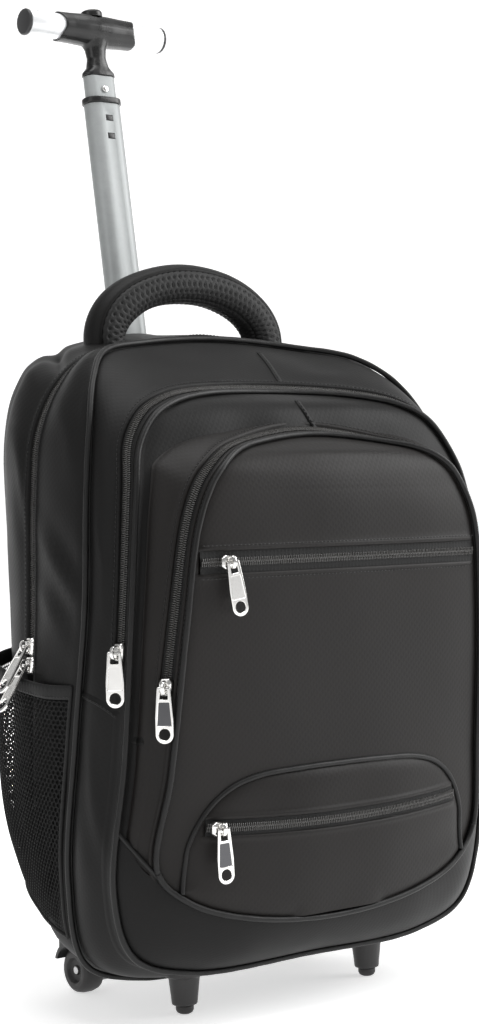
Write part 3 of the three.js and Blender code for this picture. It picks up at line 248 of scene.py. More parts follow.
def marks(name, P, n):
    u, v = seen_at(P)
    to_eye = unit(EYE - P)
    facing = np.clip(np.sum(n * to_eye, -1) / 0.3 + 0.6, 0, 1) * (P[..., 0] < -20)
    d = 0
    for line, w, h, side in FOLDS.get(name, []):
        d = d + fold(u, v, line, w, h, side)
    for cu, cv, wu, wv, h in DENTS.get(name, []):
        d = d + h * np.exp(-((u - cu) / wu) ** 2 - ((v - cv) / wv) ** 2)
    return d * facing


# ------------------------------------------------------------------ meshes
def to_row(P):
    return (np.asarray(P, float) + [SX, SY, 0]) / 1000.0


def make(name, verts, faces, mats, body="bag", node=None, uv=None, mat_index=None, flat=False, row=False):
    """A mesh piece from points in mm. uv is one pair per face corner, in metres."""
    me = bpy.data.meshes.new(name)
    V = np.asarray(verts, float) if row else to_row(verts)
    me.from_pydata(V.tolist(), [], [tuple(int(i) for i in f) for f in faces])
    if uv is not None:
        layer = me.uv_layers.new(name="UVMap")
        loops = np.zeros(len(me.loops), np.int64)
        me.loops.foreach_get("vertex_index", loops)
        layer.data.foreach_set("uv", (np.asarray(uv, float)[loops] if len(uv) == len(V) else np.asarray(uv, float)).astype(np.float32).ravel())
    for m in mats if isinstance(mats, (list, tuple)) else [mats]:
        me.materials.append(m)
    if mat_index is not None:
        me.polygons.foreach_set("material_index", np.asarray(mat_index, np.int32))
    me.polygons.foreach_set("use_smooth", np.full(len(me.polygons), not flat))
    me.update()
    ob = bpy.data.objects.new(name, me)
    bpy.context.scene.collection.objects.link(ob)
    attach(ob, body)
    if node:
        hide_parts(*([node] if isinstance(node, str) else node))
    return ob


def grid_faces(nr, nc, wrap=False, base=0):
    r = np.arange(nr - 1)[:, None]
    c = np.arange(nc if wrap else nc - 1)[None, :]
    c2 = (c + 1) % nc
    f = np.stack([r * nc + c, r * nc + c2, (r + 1) * nc + c2, (r + 1) * nc + c], -1).reshape(-1, 4)
    return f + base


def grid_normals(P, wrap):
    """Outward-ish normals of a (rows, cols, 3) grid."""
    dr = np.gradient(P, axis=0)
    if wrap:
        dc = (np.roll(P, -1, 1) - np.roll(P, 1, 1)) / 2
    else:
        dc = np.gradient(P, axis=1)
    return unit(np.cross(dc, dr))


def across(rings, fracs):
    """Smooth surface through rings (each cols x 3): the dense rows and their running distances in mm down each column,
    for resample; fracs is not used.
    """
    m = len(rings)
    ext = np.stack(rings)                                   # m, cols, 3
    cols = ext.shape[1]
    t = np.linspace(0, m - 1, (m - 1) * 14 + 1)
    dense = np.stack([catmull(ext[:, c], t) for c in range(cols)], 1)    # T, cols, 3
    L = np.concatenate([np.zeros((1, cols)), np.cumsum(np.linalg.norm(np.diff(dense, axis=0), axis=2), axis=0)])
    return dense, L, t


def resample(dense, L, want):
    out = np.zeros((want.shape[0], dense.shape[1], 3))
    for c in range(dense.shape[1]):
        for k in range(3):
            out[:, c, k] = np.interp(want[:, c], L[:, c], dense[:, c, k])
    return out


def tube(path, radius, sides=12, closed=False, a=None, twist=None, section=None, uvs=(0.0, 0.0)):
    """Verts and faces of a tube along path (n,3); section is optional [(x, y)] in the local frame (a, n)."""
    P = np.asarray(path, float)
    n = len(P)
    T = unit((np.roll(P, -1, 0) - np.roll(P, 1, 0)) if closed else np.gradient(P, axis=0))
    if a is None:
        ref = np.array([0, 0, 1.0])
        A = np.zeros_like(P)
        prev = np.cross(T[0], ref)
        if np.linalg.norm(prev) < 1e-3:
            prev = np.cross(T[0], [0, 1.0, 0])
        prev /= np.linalg.norm(prev)
        for i in range(n):
            prev = prev - T[i] * (prev @ T[i])
            prev /= np.linalg.norm(prev)
            A[i] = prev
    else:
        A = unit(np.asarray(a, float) - T * np.sum(np.asarray(a, float) * T, 1, keepdims=True))
    N = np.cross(T, A)
    if section is None:
        ang = np.arange(sides) * 2 * math.pi / sides
        section = np.stack([np.cos(ang), np.sin(ang)], 1)
        rad = np.broadcast_to(np.asarray(radius, float), (n,))
    else:
        section = np.asarray(section, float)
        rad = np.broadcast_to(np.asarray(radius if radius is not None else 1.0, float), (n,))
    sides = len(section)
    V = P[:, None] + rad[:, None, None] * (A[:, None] * section[None, :, :1] + N[:, None] * section[None, :, 1:])
    L = np.concatenate([[0], np.cumsum(np.linalg.norm(np.diff(P, axis=0), axis=1))])
    F = grid_faces(n, sides, wrap=True)
    if closed:
        i = np.arange(sides)
        F = np.vstack([F, np.stack([(n - 1) * sides + i, (n - 1) * sides + (i + 1) % sides, (i + 1) % sides, i], 1)])
    F = F[:, ::-1]
    uv = np.stack([np.repeat(L, sides), np.tile(np.arange(sides) / sides * 2 * math.pi * float(rad.mean()), n)], 1) / 1000
    faces = [tuple(f) for f in F]
    if not closed:
        faces += [tuple(range(sides)), tuple((n - 1) * sides + k for k in range(sides - 1, -1, -1))]
    return V.reshape(-1, 3), faces, uv, (T, A, N)


# ------------------------------------------------------------------ materials
class Mat:
    """A small helper for node materials."""

    def __init__(self, name):
        self.m = bpy.data.materials.new(name)
        self.m.use_nodes = True
        self.t = self.m.node_tree
        self.bsdf = self.t.nodes["Principled BSDF"]

    def n(self, kind, **sets):
        node = self.t.nodes.new(kind)
        for k, v in sets.items():
            if k.startswith("i_"):
                node.inputs[k[2:].replace("_", " ")].default_value = v
            else:
                setattr(node, k, v)
        return node

    def link(self, a, b):
        self.t.links.new(a, b)

    def ramp(self, src, stops, interp="LINEAR"):
        r = self.n("ShaderNodeValToRGB")
        r.color_ramp.interpolation = interp
        el = r.color_ramp.elements
        while len(el) < len(stops):
            el.new(0.5)
        for e, (p, c) in zip(el, stops):
            e.position = p
            e.color = (*c, 1) if hasattr(c, "__len__") else (c, c, c, 1)
        self.link(src, r.inputs[0])
        return r

    def math(self, op, a, b=None, clamp=False):
        q = self.n("ShaderNodeMath", operation=op, use_clamp=clamp)
        for i, v in enumerate((a, b)):
            if v is None:
                continue
            if isinstance(v, (int, float)):
                q.inputs[i].default_value = v
            else:
                self.link(v, q.inputs[i])
        return q.outputs[0]

    def mixc(self, f, a, b, mode="MIX"):
        q = self.n("ShaderNodeMix", data_type="RGBA", blend_type=mode)
        for i, v in ((0, f), (6, a), (7, b)):
            if hasattr(v, "is_output"):
                self.link(v, q.inputs[i])
            else:
                q.inputs[i].default_value = v if i == 0 else (*v, 1)
        return q.outputs[2]

    def set(self, **kw):
        for k, v in kw.items():
            self.bsdf.inputs[k.replace("_", " ")].default_value = v
        return self


def woven(name, base, tint=(1, 1, 1), rough=0.62, pitch=0.9, depth=0.12, sheen=0.25, spec=0.4, vary=0.16, slub=0.3, twill=True, coat=0.0):
    """Woven cloth: threads crossing along the piece's UV (metres), slubs, and slow changes of tone."""
    M = Mat(name)
    uv = M.n("ShaderNodeTexCoord")
    k = 1000.0 / pitch
    mp = M.n("ShaderNodeMapping")
    M.link(uv.outputs["UV"], mp.inputs["Vector"])
    if twill:
        mp.inputs["Rotation"].default_value = (0, 0, math.radians(38))
    warp = M.n("ShaderNodeTexWave", wave_type="BANDS", bands_direction="X", wave_profile="SIN", i_Scale=k / 6.283 * 0.5, i_Distortion=0.6, i_Detail=1.0)
    weft = M.n("ShaderNodeTexWave", wave_type="BANDS", bands_direction="Y", wave_profile="SIN", i_Scale=k / 6.283 * 0.5, i_Distortion=0.6, i_Detail=1.0)
    for w in (warp, weft):
        M.link(mp.outputs[0], w.inputs["Vector"])
    weave = M.math("MAXIMUM", warp.outputs["Fac"], M.math("MULTIPLY", weft.outputs["Fac"], 0.85))
    obj = uv.outputs["Object"]
    big = M.n("ShaderNodeTexNoise", i_Scale=14.0, i_Detail=3.0, i_Roughness=0.55)
    fine = M.n("ShaderNodeTexNoise", i_Scale=900.0, i_Detail=2.0, i_Roughness=0.6)
    M.link(obj, big.inputs["Vector"])
    M.link(obj, fine.inputs["Vector"])
    b = [base * c for c in tint]
    dark, lite = [c * (1 - vary) for c in b], [c * (1 + vary * 1.4) for c in b]
    tone = M.ramp(big.outputs["Fac"], [(0.34, dark), (0.66, lite)])
    thread = M.mixc(M.math("MULTIPLY", weave, 0.35), tone.outputs[0], [c * 1.35 for c in b])
    col = M.mixc(M.math("MULTIPLY", fine.outputs["Fac"], slub), thread, [c * 0.6 for c in b])
    M.link(col, M.bsdf.inputs["Base Color"])
    rr = M.ramp(big.outputs["Fac"], [(0.3, rough - 0.05), (0.7, rough + 0.06)])
    M.link(rr.outputs[0], M.bsdf.inputs["Roughness"])
    h = M.math("ADD", weave, M.math("MULTIPLY", fine.outputs["Fac"], 0.5))
    bp = M.n("ShaderNodeBump", i_Strength=depth, i_Distance=0.0004)
    M.link(h, bp.inputs["Height"])
    M.link(bp.outputs[0], M.bsdf.inputs["Normal"])
    M.set(Sheen_Weight=sheen, Sheen_Roughness=0.45, Specular_IOR_Level=spec)
    if coat:
        M.set(Coat_Weight=coat, Coat_Roughness=0.5)
    return M.m


def moulded(name, base, rough=0.42, grain=0.25, scale=1400.0, spec=0.5, vary=0.12):
    """Moulded plastic or rubber: fine spark-eroded grain, faint handling marks."""
    M = Mat(name)
    tc = M.n("ShaderNodeTexCoord").outputs["Object"]
    g = M.n("ShaderNodeTexNoise", i_Scale=scale, i_Detail=2.0)
    s = M.n("ShaderNodeTexNoise", i_Scale=60.0, i_Detail=5.0, i_Roughness=0.65)
    for q in (g, s):
        M.link(tc, q.inputs["Vector"])
    b = list(base)
    col = M.ramp(s.outputs["Fac"], [(0.35, [c * (1 - vary) for c in b]), (0.7, [c * (1 + vary) for c in b])])
    M.link(col.outputs[0], M.bsdf.inputs["Base Color"])
    rr = M.ramp(s.outputs["Fac"], [(0.35, max(0.05, rough - 0.05)), (0.7, rough + 0.07)])
    M.link(rr.outputs[0], M.bsdf.inputs["Roughness"])
    bp = M.n("ShaderNodeBump", i_Strength=grain, i_Distance=0.00008)
    M.link(g.outputs["Fac"], bp.inputs["Height"])
    M.link(bp.outputs[0], M.bsdf.inputs["Normal"])
    M.set(Specular_IOR_Level=spec)
    return M.m


def metal(name, base, rough=0.2, brush=0.0, axis=2, vary=0.06, smudge=0.08, metallic=1.0):
    """Metal with faint smudges; brushed or drawn marks along axis where brush is above 0."""
    M = Mat(name)
    tc = M.n("ShaderNodeTexCoord").outputs["Object"]
    s = M.n("ShaderNodeTexNoise", i_Scale=110.0, i_Detail=5.0, i_Roughness=0.7)
    M.link(tc, s.inputs["Vector"])
    mp = M.n("ShaderNodeMapping")
    sc = [2600.0, 2600.0, 2600.0]
    sc[axis] = 14.0
    mp.inputs["Scale"].default_value = sc
    M.link(tc, mp.inputs["Vector"])
    l = M.n("ShaderNodeTexNoise", i_Scale=1.0, i_Detail=2.0)
    M.link(mp.outputs[0], l.inputs["Vector"])
    col = M.ramp(s.outputs["Fac"], [(0.3, [c * (1 - vary) for c in base]), (0.7, [min(1, c * (1 + vary)) for c in base])])
    M.link(col.outputs[0], M.bsdf.inputs["Base Color"])
    rr = M.ramp(s.outputs["Fac"], [(0.3, max(0.03, rough - smudge * 0.5)), (0.75, rough + smudge)])
    M.link(rr.outputs[0], M.bsdf.inputs["Roughness"])
    if brush:
        bp = M.n("ShaderNodeBump", i_Strength=brush, i_Distance=0.00004)
        M.link(l.outputs["Fac"], bp.inputs["Height"])
        M.link(bp.outputs[0], M.bsdf.inputs["Normal"])
    M.bsdf.inputs["Metallic"].default_value = metallic
    return M.m


FAB = woven("cloth_black", 0.0043, (1.02, 0.98, 0.96), rough=0.50, sheen=0.02, spec=0.19)
PANEL = woven("cloth_front", 0.0080, (1.12, 0.97, 0.90), rough=0.48, sheen=0.02, spec=0.22)
CORD = woven("cloth_piping", 0.0055, (1, 0.98, 0.97), rough=0.44, pitch=0.7, sheen=0.02, spec=0.30)
TAPE = woven("zip_tape", 0.0060, rough=0.66, pitch=0.8, depth=0.35, twill=False, sheen=0.05, spec=0.3)
HEM = woven("hem_binding", 0.0065, rough=0.62, pitch=0.8, depth=0.3, twill=False, sheen=0.06, spec=0.3)
WEB = woven("webbing", 0.0085, rough=0.58, pitch=1.6, depth=0.6, twill=False, sheen=0.06, spec=0.3)
THREAD = woven("sewing_thread", 0.011, rough=0.5, pitch=0.35, depth=0.4, sheen=0.05)
# the coil's base colour sits well above the black cloth: partly the coil's own grey, partly a painted highlight for the
# glint on its teeth
COIL = moulded("zip_coil", (0.045, 0.043, 0.040), rough=0.28, grain=0.1, spec=0.7)
NET = moulded("knitted_net", (0.0075, 0.0075, 0.0075), rough=0.5, grain=0.2, spec=0.3)
BLACK = moulded("black_plastic", (0.010, 0.010, 0.010), rough=0.30, grain=0.18, spec=0.5)
LEGP = moulded("leg_plastic", (0.020, 0.019, 0.019), rough=0.38, grain=0.3, spec=0.5)
CAPG = moulded("cap_plastic", (0.030, 0.030, 0.031), rough=0.4, grain=0.2)
RUBBER = moulded("wheel_rubber", (0.022, 0.021, 0.021), rough=0.5, grain=0.5, scale=900.0)
SMOKED = metal("mirror_nickel", (0.10, 0.10, 0.105), rough=0.10, smudge=0.05)
NICKEL = metal("polished_nickel", (0.86, 0.85, 0.83), rough=0.12, smudge=0.08)
TUBE = metal("satin_tube", (0.33, 0.345, 0.345), rough=0.42, brush=0.25, metallic=0.30)
SILVER = metal("silver_grip", (0.86, 0.87, 0.88), rough=0.30, brush=0.1, axis=0, metallic=0.35)
STEEL = metal("axle_steel", (0.55, 0.55, 0.55), rough=0.3, brush=0.2, axis=0)


# ------------------------------------------------------------------ the soft shells
N = 336                                   # columns round the pack
S = np.arange(N) * TURN / N


def rows_of(L, zip_t, band, before, after, per=14):
    """Row distances (rows, cols): evenly spread before and after a band of fixed offsets round the zip line."""
    Lz, Lt = L[zip_t * per], L[-1]
    lo, hi = band[0], band[-1]
    u = np.linspace(0, 1, before, endpoint=False)[:, None]
    v = np.linspace(0, 1, after + 1)[1:, None]
    return np.vstack([u * (Lz + lo)[None], Lz[None] + np.array(band)[:, None], (Lz + hi)[None] + v * (Lt - Lz - hi)[None]]), Lz


def lip(a, half, depth, height, rise=1.6):
    """Profile of a zip band: sunk tape between two folded edges."""
    a = np.abs(a)
    inside = 1 - smooth(half - 0.45, half + 0.35, a)
    return -depth * inside + height * np.exp(-(((a - half - rise) / 1.9) ** 2)) * (1 - inside)


def seam_line(a):
    """Profile beside a piped seam: cloth pulled in at the seam, and the turned-in edge under it."""
    return -1.7 * np.exp(-a / 2.6) + 0.75 * bump(a, 5.2, 1.5) - 0.55 * bump(a, 8.2, 1.0)


BAND = [-11, -9, -7.6, -6.6, -5.9, -5.35, -5.0, -4.6, -4.2, -3.0, -1.5, 0, 1.5, 3.0, 4.2, 4.6, 5.0, 5.35, 5.9, 6.6, 7.6, 9, 11]
SHELL = {}


def cap_rows(edge, front, puff=None, cols=64):
    """Rungs across the closed end of a shell: edge is the ring (N, 3). Returns verts beyond the edge and faces (edge index offset 0)."""
    h = N // 2
    V, F = [], []
    rows = [[0]]
    nv = N
    for j in range(1, h):
        r, l = edge[j], edge[N - j]
        row = [N - j]
        u = np.arange(1, cols)[:, None] / cols
        p = l + (r - l) * u
        if puff is not None:
            p = puff(p, j)
        V.append(p)
        row += list(range(nv, nv + cols - 1))
        nv += cols - 1
        row.append(j)
        rows.append(row)
    rows.append([h])
    for j in range(h):
        a, b = rows[j], rows[j + 1]
        if len(a) == 1:
            F += [(a[0], b[c + 1], b[c]) for c in range(cols)]
        elif len(b) == 1:
            F += [(a[c], a[c + 1], b[0]) for c in range(cols)]
        else:
            F += [(a[c], a[c + 1], b[c + 1], b[c]) for c in range(cols)]
    if not front:
        F = [f[::-1] for f in F]
    return np.vstack(V), F


def shell(name, rings, zip_t, end_z, before, after, mats, node, relief=None, half=4.8, front_puff=None, rear_puff=None, cols=64, extra=None):
    dense, L, _ = across(rings, None)
    want, Lz = rows_of(L, zip_t, BAND, before, after)
    P = resample(dense, L, want)
    nrm = grid_normals(P, True)
    centre = np.array([0, -20.0, 250.0])
    flip = np.sign(np.sum(nrm * (P - centre), -1)).mean()
    nrm *= np.sign(flip)
    a = want - Lz[None]
    zipz = P[before + BAND.index(0)][:, 2]
    on = smooth(end_z - 1, end_z + 3, zipz)[None]
    d = on * lip(a, half, 1.7, 0.9) + (1 - on) * (-0.7 * bump(a, 0, 1.4))
    fr = want / L[-1][None]
    if relief is not None:
        d = d + relief(P, want, a, Lz, L[-1], on)
    ease = (1 - np.exp(-(want / 7.0) ** 2))[..., None].squeeze(-1) * (1 - np.exp(-((L[-1][None] - want) / 7.0) ** 2)) * (1 - np.exp(-(a / 8.0) ** 2) * on)
    d = d + marks(name, P, nrm) * ease
    Q = P + nrm * d[..., None]
    nr = len(want)
    verts = [Q.reshape(-1, 3)]
    faces = [tuple(f) for f in grid_faces(nr, N, wrap=True)]
    arc = np.concatenate([[0], np.cumsum(np.linalg.norm(np.diff(P[before + 11], axis=0), axis=1))])
    uv = [np.stack([np.broadcast_to(arc, want.shape), want], -1).reshape(-1, 2) / 1000]
    count = nr * N
    for edge_row, is_front, puff in ((0, True, front_puff), (nr - 1, False, rear_puff)):
        if puff is False:
            continue
        ev = Q[edge_row]
        cv, cf = cap_rows(ev, is_front, puff, cols)
        off = count - N

        def ix(i, off=off, edge_row=edge_row):
            return edge_row * N + i if i < N else i + off

        faces += [tuple(ix(i) for i in f) for f in cf]
        verts.append(cv)
        uv.append(cv[:, [0, 2]] / 1000)
        count += len(cv)
    if extra is not None:
        ev, ef, eu = extra
        faces += [tuple(i + count for i in f) for f in ef]
        verts.append(ev)
        uv.append(eu)
    ob = make(name, np.vstack(verts), faces, mats, node=node, uv=np.vstack(uv))
    zr = before + BAND.index(0)
    SHELL[name] = dict(P=P, Q=Q, n=nrm, want=want, a=a, zip_row=zr, Lz=Lz, on=on[0], dense=dense, L=L)
    return ob


def main_relief(P, want, a, Lz, Lt, on):
    d = seam_line(want)
    f = np.clip(want / Lz[None], 0, 1)
    d = d + 2.6 * np.sin(math.pi * f) ** 0.8 * (want < Lz[None])
    g = np.clip((want - Lz[None]) / (Lt - Lz)[None], 0, 1)
    d = d + 3.0 * np.sin(math.pi * np.clip(g * 1.15, 0, 1)) * (want > Lz[None])
    pts = P.reshape(-1, 3)
    wr = soft_noise(pts * [1, 1, 0.45], 46, 3).reshape(want.shape)
    d = d + 0.9 * wr * np.sin(math.pi * f) * (want < Lz[None]) + 1.6 * wr * np.sin(math.pi * g) * (want > Lz[None])
    return d


def mid_relief(P, want, a, Lz, Lt, on):
    back = Lt[None] - want
    d = seam_line(want + 1.0) * smooth(0, 1, want + 1) - 1.5 * np.exp(-back / 3.0)
    g = np.clip((want - Lz[None] - 5) / (Lt - Lz - 5)[None], 0, 1)
    z = P[..., 2]
    top = smooth(395, 450, z)
    d = d + (2.6 - 1.2 * top) * np.sin(math.pi * g)
    wr = soft_noise(P.reshape(-1, 3) * [1, 1, 0.5], 52, 8).reshape(want.shape)
    return d + 0.8 * wr * np.sin(math.pi * g)


def front_relief(P, want, a, Lz, Lt, on):
    back = Lt[None] - want
    d = seam_line(want + 1.0) - 0.9 * np.exp(-back / 2.0)
    g = np.clip((want - Lz[None] - 5) / np.maximum(Lt - Lz - 5, 4)[None], 0, 1)
    return d + 1.2 * np.sin(math.pi * g)


def edge_distance(P, edge):
    """Distance of points to a polyline's points (dense enough)."""
    out = np.full(len(P), 1e9)
    for i in range(0, len(edge), 64):
        e = edge[i:i + 64]
        out = np.minimum(out, np.min(np.linalg.norm(P[:, None] - e[None], axis=2), axis=1))
    return out


MAIN_RINGS = [section(k, S) for k in ("mainSeam", "mainSide", "mainZip", "rear", "rearTurn", "rearEdge", "back")]
mp_, ms_ = ring("midPiping", S), ring("mainSeam", S)
MID_RINGS = [mp_, toward(mp_, ms_, ZIP_BEHIND), mp_ + (ms_ - mp_) * 0.6, ms_ - [0, 1, 0]]
fp_, fb_ = ring("frontPiping", S), front_base(S)
fz_ = toward(fp_, fb_, ZIP_BEHIND)
FRONT_RINGS = [fp_, fz_, (fz_ + fb_) / 2, fb_]

EDGE_MID = ring("midPiping", np.linspace(0, 42, 1200))
EDGE_FRONT = ring("frontPiping", np.linspace(0, 42, 1200))


def mid_face(p, j):
    d = edge_distance(p, EDGE_MID)
    q = p.copy()
    q[:, 1] -= -1.2 * np.exp(-d / 3) + 4.5 * (1 - np.exp(-d / 14)) + 0.8 * soft_noise(p, 60, 5) * (1 - np.exp(-d / 10))
    return q


def face_relief(x, z, d):
    """How far the front face stands off its CAD surface, in mm, towards the front."""
    out = -1.5 * np.exp(-d / 2.6) + 1.6 * (1 - np.exp(-d / 16)) + 0.55 * soft_noise(np.stack([x, x * 0, z * 0.7], -1), 85, 11) * (1 - np.exp(-d / 14))
    az = z - 321.5
    inx = 1 - smooth(124, 127, np.abs(x))
    return out + inx * lip(az, 7.4, 1.9, 1.0, 2.0)


def rung_rows(half_x, half_z, steps, dense_at=(), low=None, high=None):
    """Heights of the rungs across a closed outline: close together where the outline turns, and at given bands."""
    i = np.linspace(0, len(half_z) - 1, steps)
    z = np.interp(i, np.arange(len(half_z)), half_z)
    extra = [c + np.arange(-w, w + 0.01, st) for c, w, st in dense_at]
    z = np.unique(np.round(np.concatenate([z, *extra]), 3)) if extra else z
    keep = [z[0]]
    for q in z[1:]:
        if q - keep[-1] > 0.12:
            keep.append(q)
    return np.array(keep)


def front_face_grid(cols=132):
    ss, pp = HALF["frontPiping"]
    z = rung_rows(pp[:, 0], pp[:, 2], 190, [(321.5, 12, 0.55)])
    w = np.interp(z, FP_Z, FP_X)
    u = np.linspace(-1, 1, cols + 1)
    x = w[:, None] * u[None]
    zz = np.broadcast_to(z[:, None], x.shape)
    pts = np.stack([x, front_face_y(x, zz), zz], -1)
    d = edge_distance(pts.reshape(-1, 3), EDGE_FRONT).reshape(x.shape)
    pts[..., 1] -= face_relief(x, zz, d)
    f = grid_faces(len(z), cols + 1)
    uv = np.stack([x, zz], -1).reshape(-1, 2) / 1000
    return pts.reshape(-1, 3), [tuple(q) for q in f], uv


main_ob = shell("main_body_v", MAIN_RINGS, 2, MAIN_END, 9, 34, FAB, "main_shell", main_relief)
mid_ob = shell("mid_body_v", MID_RINGS, 1, MID_END, 4, 16, FAB, "mid_shell", mid_relief, front_puff=mid_face)
front_ob = shell("front_body_v", FRONT_RINGS, 1, FRONT_END, 4, 8, [PANEL], "front_shell", front_relief, front_puff=False,
                 extra=front_face_grid())

# ------------------------------------------------------------------ piping, and the seams it covers
MIDDLE = np.array([0, -30.0, 250.0])


def frames_on(r, ahead, behind, closed=True):
    t = unit((np.roll(r, -1, 0) - np.roll(r, 1, 0)) if closed else np.gradient(r, axis=0))
    a = unit(behind - ahead)
    n = unit(np.cross(t, a))
    n *= np.where(np.sum(n * (r - MIDDLE), 1) < 0, -1, 1)[:, None]
    a = unit(a - t * np.sum(a * t, 1, keepdims=True))
    return t, a, n


def cord_of(name, pts, a, n, lift, mats, closed, node=None, radius=PIPING_R, body="bag"):
    """Piping: a cloth-covered cord with the slight squeeze of its stitching."""
    q = pts + n * lift
    L = np.concatenate([[0], np.cumsum(np.linalg.norm(np.diff(q, axis=0), axis=1))])
    r = radius * (1 + 0.025 * np.sin(L / 3.1) + 0.03 * soft_noise(q, 30, 21))
    v, f, uv, _ = tube(q, r, 14, closed=closed, a=a)
    return make(name, v, f, mats, body, node=node, uv=uv)


SF = np.arange(672) * TURN / 672
r0 = ring("mainSeam", SF)
_, a0, n0 = frames_on(r0, ring("midPiping", SF), ring("mainZip", SF))
cord_of("piping_main_v", r0, a0, n0, 1.9, CORD, True, "piping_main")
r1 = ring("midPiping", SF)
_, a1, n1 = frames_on(r1, front_base(SF), ring("mainSeam", SF))
cord_of("piping_mid_v", r1, a1, n1, 1.9, CORD, True, "piping_mid")
SA = np.linspace(5, 37, 520)
r2 = ring("frontPiping", SA)
inner = r2 * [0.9, 1, 0.9] + [0, -2, 25]
_, a2, n2 = frames_on(r2, inner, front_base(SA), False)
cord_of("piping_front_v", r2, a2, n2, 1.9, CORD, False, "piping_front")
SB = np.linspace(-5, 5, 240)
r3 = ring("frontPiping", SB)
inner = r3 * [0.9, 1, 0.9] + [0, -2, 25]
_, a3, n3 = frames_on(r3, inner, ring("midPiping", SB), False)
cord_of("piping_kick_v", r3, a3, n3, 1.7, CORD, False)


# ------------------------------------------------------------------ lower front panel
def kick():
    C, R_ = 181, 26
    s = np.linspace(-5, 5, C)
    u = np.linspace(0, 1, R_)[:, None, None]
    at = s[None] / 5 * (5.95 - 1.15 * u[..., 0])
    lo = ring("midPiping", at.ravel()).reshape(R_, C, 3)
    hi = ring("frontPiping", at.ravel()).reshape(R_, C, 3)
    k = np.abs(s) / 5
    P = lo * [0.995, 1, 1] + (hi - lo * [0.995, 1, 1]) * u + np.array([0, -0.6, 0.6]) * (1 - u)
    uu = u[..., 0]
    puff = 6.2 * np.sin(math.pi * (0.08 + 0.88 * uu)) ** 0.9 * (1 - k[None] ** 4)
    edge = np.minimum(uu, 1 - uu) * np.linalg.norm(hi - lo, axis=-1)
    puff = puff - 1.3 * np.exp(-edge / 2.5)
    nn = soft_noise(P.reshape(-1, 3), 70, 31).reshape(puff.shape) * 0.6 * np.sin(math.pi * uu)
    P[..., 1] -= (puff + nn) * 0.7
    P[..., 2] -= (puff + nn) * 0.7
    x = np.cumsum(np.linalg.norm(np.diff(P[R_ // 2], axis=0), axis=1))
    arc = np.concatenate([[0], x])
    uv = np.stack([np.broadcast_to(arc, (R_, C)), np.broadcast_to(uu * 48, (R_, C))], -1).reshape(-1, 2) / 1000
    return make("kick_panel_v", P.reshape(-1, 3), grid_faces(R_, C)[:, ::-1], FAB, node="kick_panel", uv=uv)


kick_ob = kick()
for sx in (-1, 1):
    e0, e1 = ring("midPiping", np.array([sx * 5.95]))[0], ring("frontPiping", np.array([sx * 4.8]))[0]
    t_ = np.linspace(0, 1, 60)[:, None]
    pth = e0 + (e1 - e0) * t_ + np.array([0, -1.0, -1.0]) * np.sin(math.pi * t_) * 1.5
    cord_of(f"piping_kick_{'l' if sx < 0 else 'r'}", pth, np.broadcast_to([0, -1.0, 0], pth.shape), np.broadcast_to([0, -0.7, -0.2], pth.shape), 0.8, CORD, False, radius=1.8)

# ------------------------------------------------------------------ low pocket on the front
AP = catmull(np.array([(-60, 79.5)] + ARC_POCKET[:] + [(-38, 176)], float) * 1.0, np.linspace(1, len(ARC_POCKET), 500))
AP[:, 0] = np.maximum(AP[:, 0], 0)
AP_Z = np.maximum.accumulate(AP[:, 1] + np.arange(len(AP)) * 1e-6)
AP_X = AP[:, 0]
wide = AP_Z[np.argmax(AP_X)]
ap_z = np.concatenate([np.linspace(71.5, wide, 200, endpoint=False), AP_Z[np.argmax(AP_X):]])
ap_x = np.concatenate([np.full(200, AP_X.max()), AP_X[np.argmax(AP_X):]])
ap_x = np.where(ap_z < wide, AP_X.max() + (wide - ap_z) * 0.10, ap_x)
seam_x = np.interp(ap_z, FP_Z[np.argsort(FP_Z)], FP_X[np.argsort(FP_Z)]) - 3.0
AP_FREE = ap_x < seam_x
AP_X, AP_Z = np.maximum(np.minimum(ap_x, seam_x), 0.5), ap_z


def pocket_zip_z(x):
    return 138 + 4 * (np.asarray(x) / 116) ** 2


def pocket_height(x, z):
    w = np.maximum(np.interp(z, AP_Z, AP_X), 1)
    s = np.clip(np.abs(x) / w, 0, 1)
    rise = np.sin(math.pi * np.clip((z - 70) / 112, 0, 1))
    return 2.6 + 3.6 * (1 - s ** 4) * rise


OUT2 = np.stack([np.concatenate([AP_X, -AP_X]), np.zeros(2 * len(AP_X)), np.concatenate([AP_Z, AP_Z])], 1)


def arc_pocket(cols=120):
    z = rung_rows(AP_X, AP_Z, 120, [(140, 13, 0.6)])
    w = np.interp(z, AP_Z, AP_X)
    u = np.linspace(-1, 1, cols + 1)
    x = w[:, None] * u[None]
    zz = np.broadcast_to(z[:, None], x.shape)
    d = edge_distance(np.stack([x, x * 0, zz], -1).reshape(-1, 3), OUT2).reshape(x.shape)
    h = pocket_height(x, zz) * (1 - np.exp(-(d + 0.4) / 4.5)) + 0.5 * soft_noise(np.stack([x, x * 0, zz], -1).reshape(-1, 3), 60, 41).reshape(x.shape) * (1 - np.exp(-d / 12))
    inx = 1 - smooth(113, 117, np.abs(x))
    h = h - 1.2 * np.exp(-d / 2.5) + inx * lip(zz - pocket_zip_z(x), 5.4, 1.8, 0.9, 2.0)
    P = np.stack([x, front_face_y(x, zz) - h - 1.1, zz], -1)
    uv = np.stack([x, zz], -1).reshape(-1, 2) / 1000
    return make("arc_pocket_v", P.reshape(-1, 3), grid_faces(len(z), cols + 1), PANEL, node="arc_pocket", uv=uv)


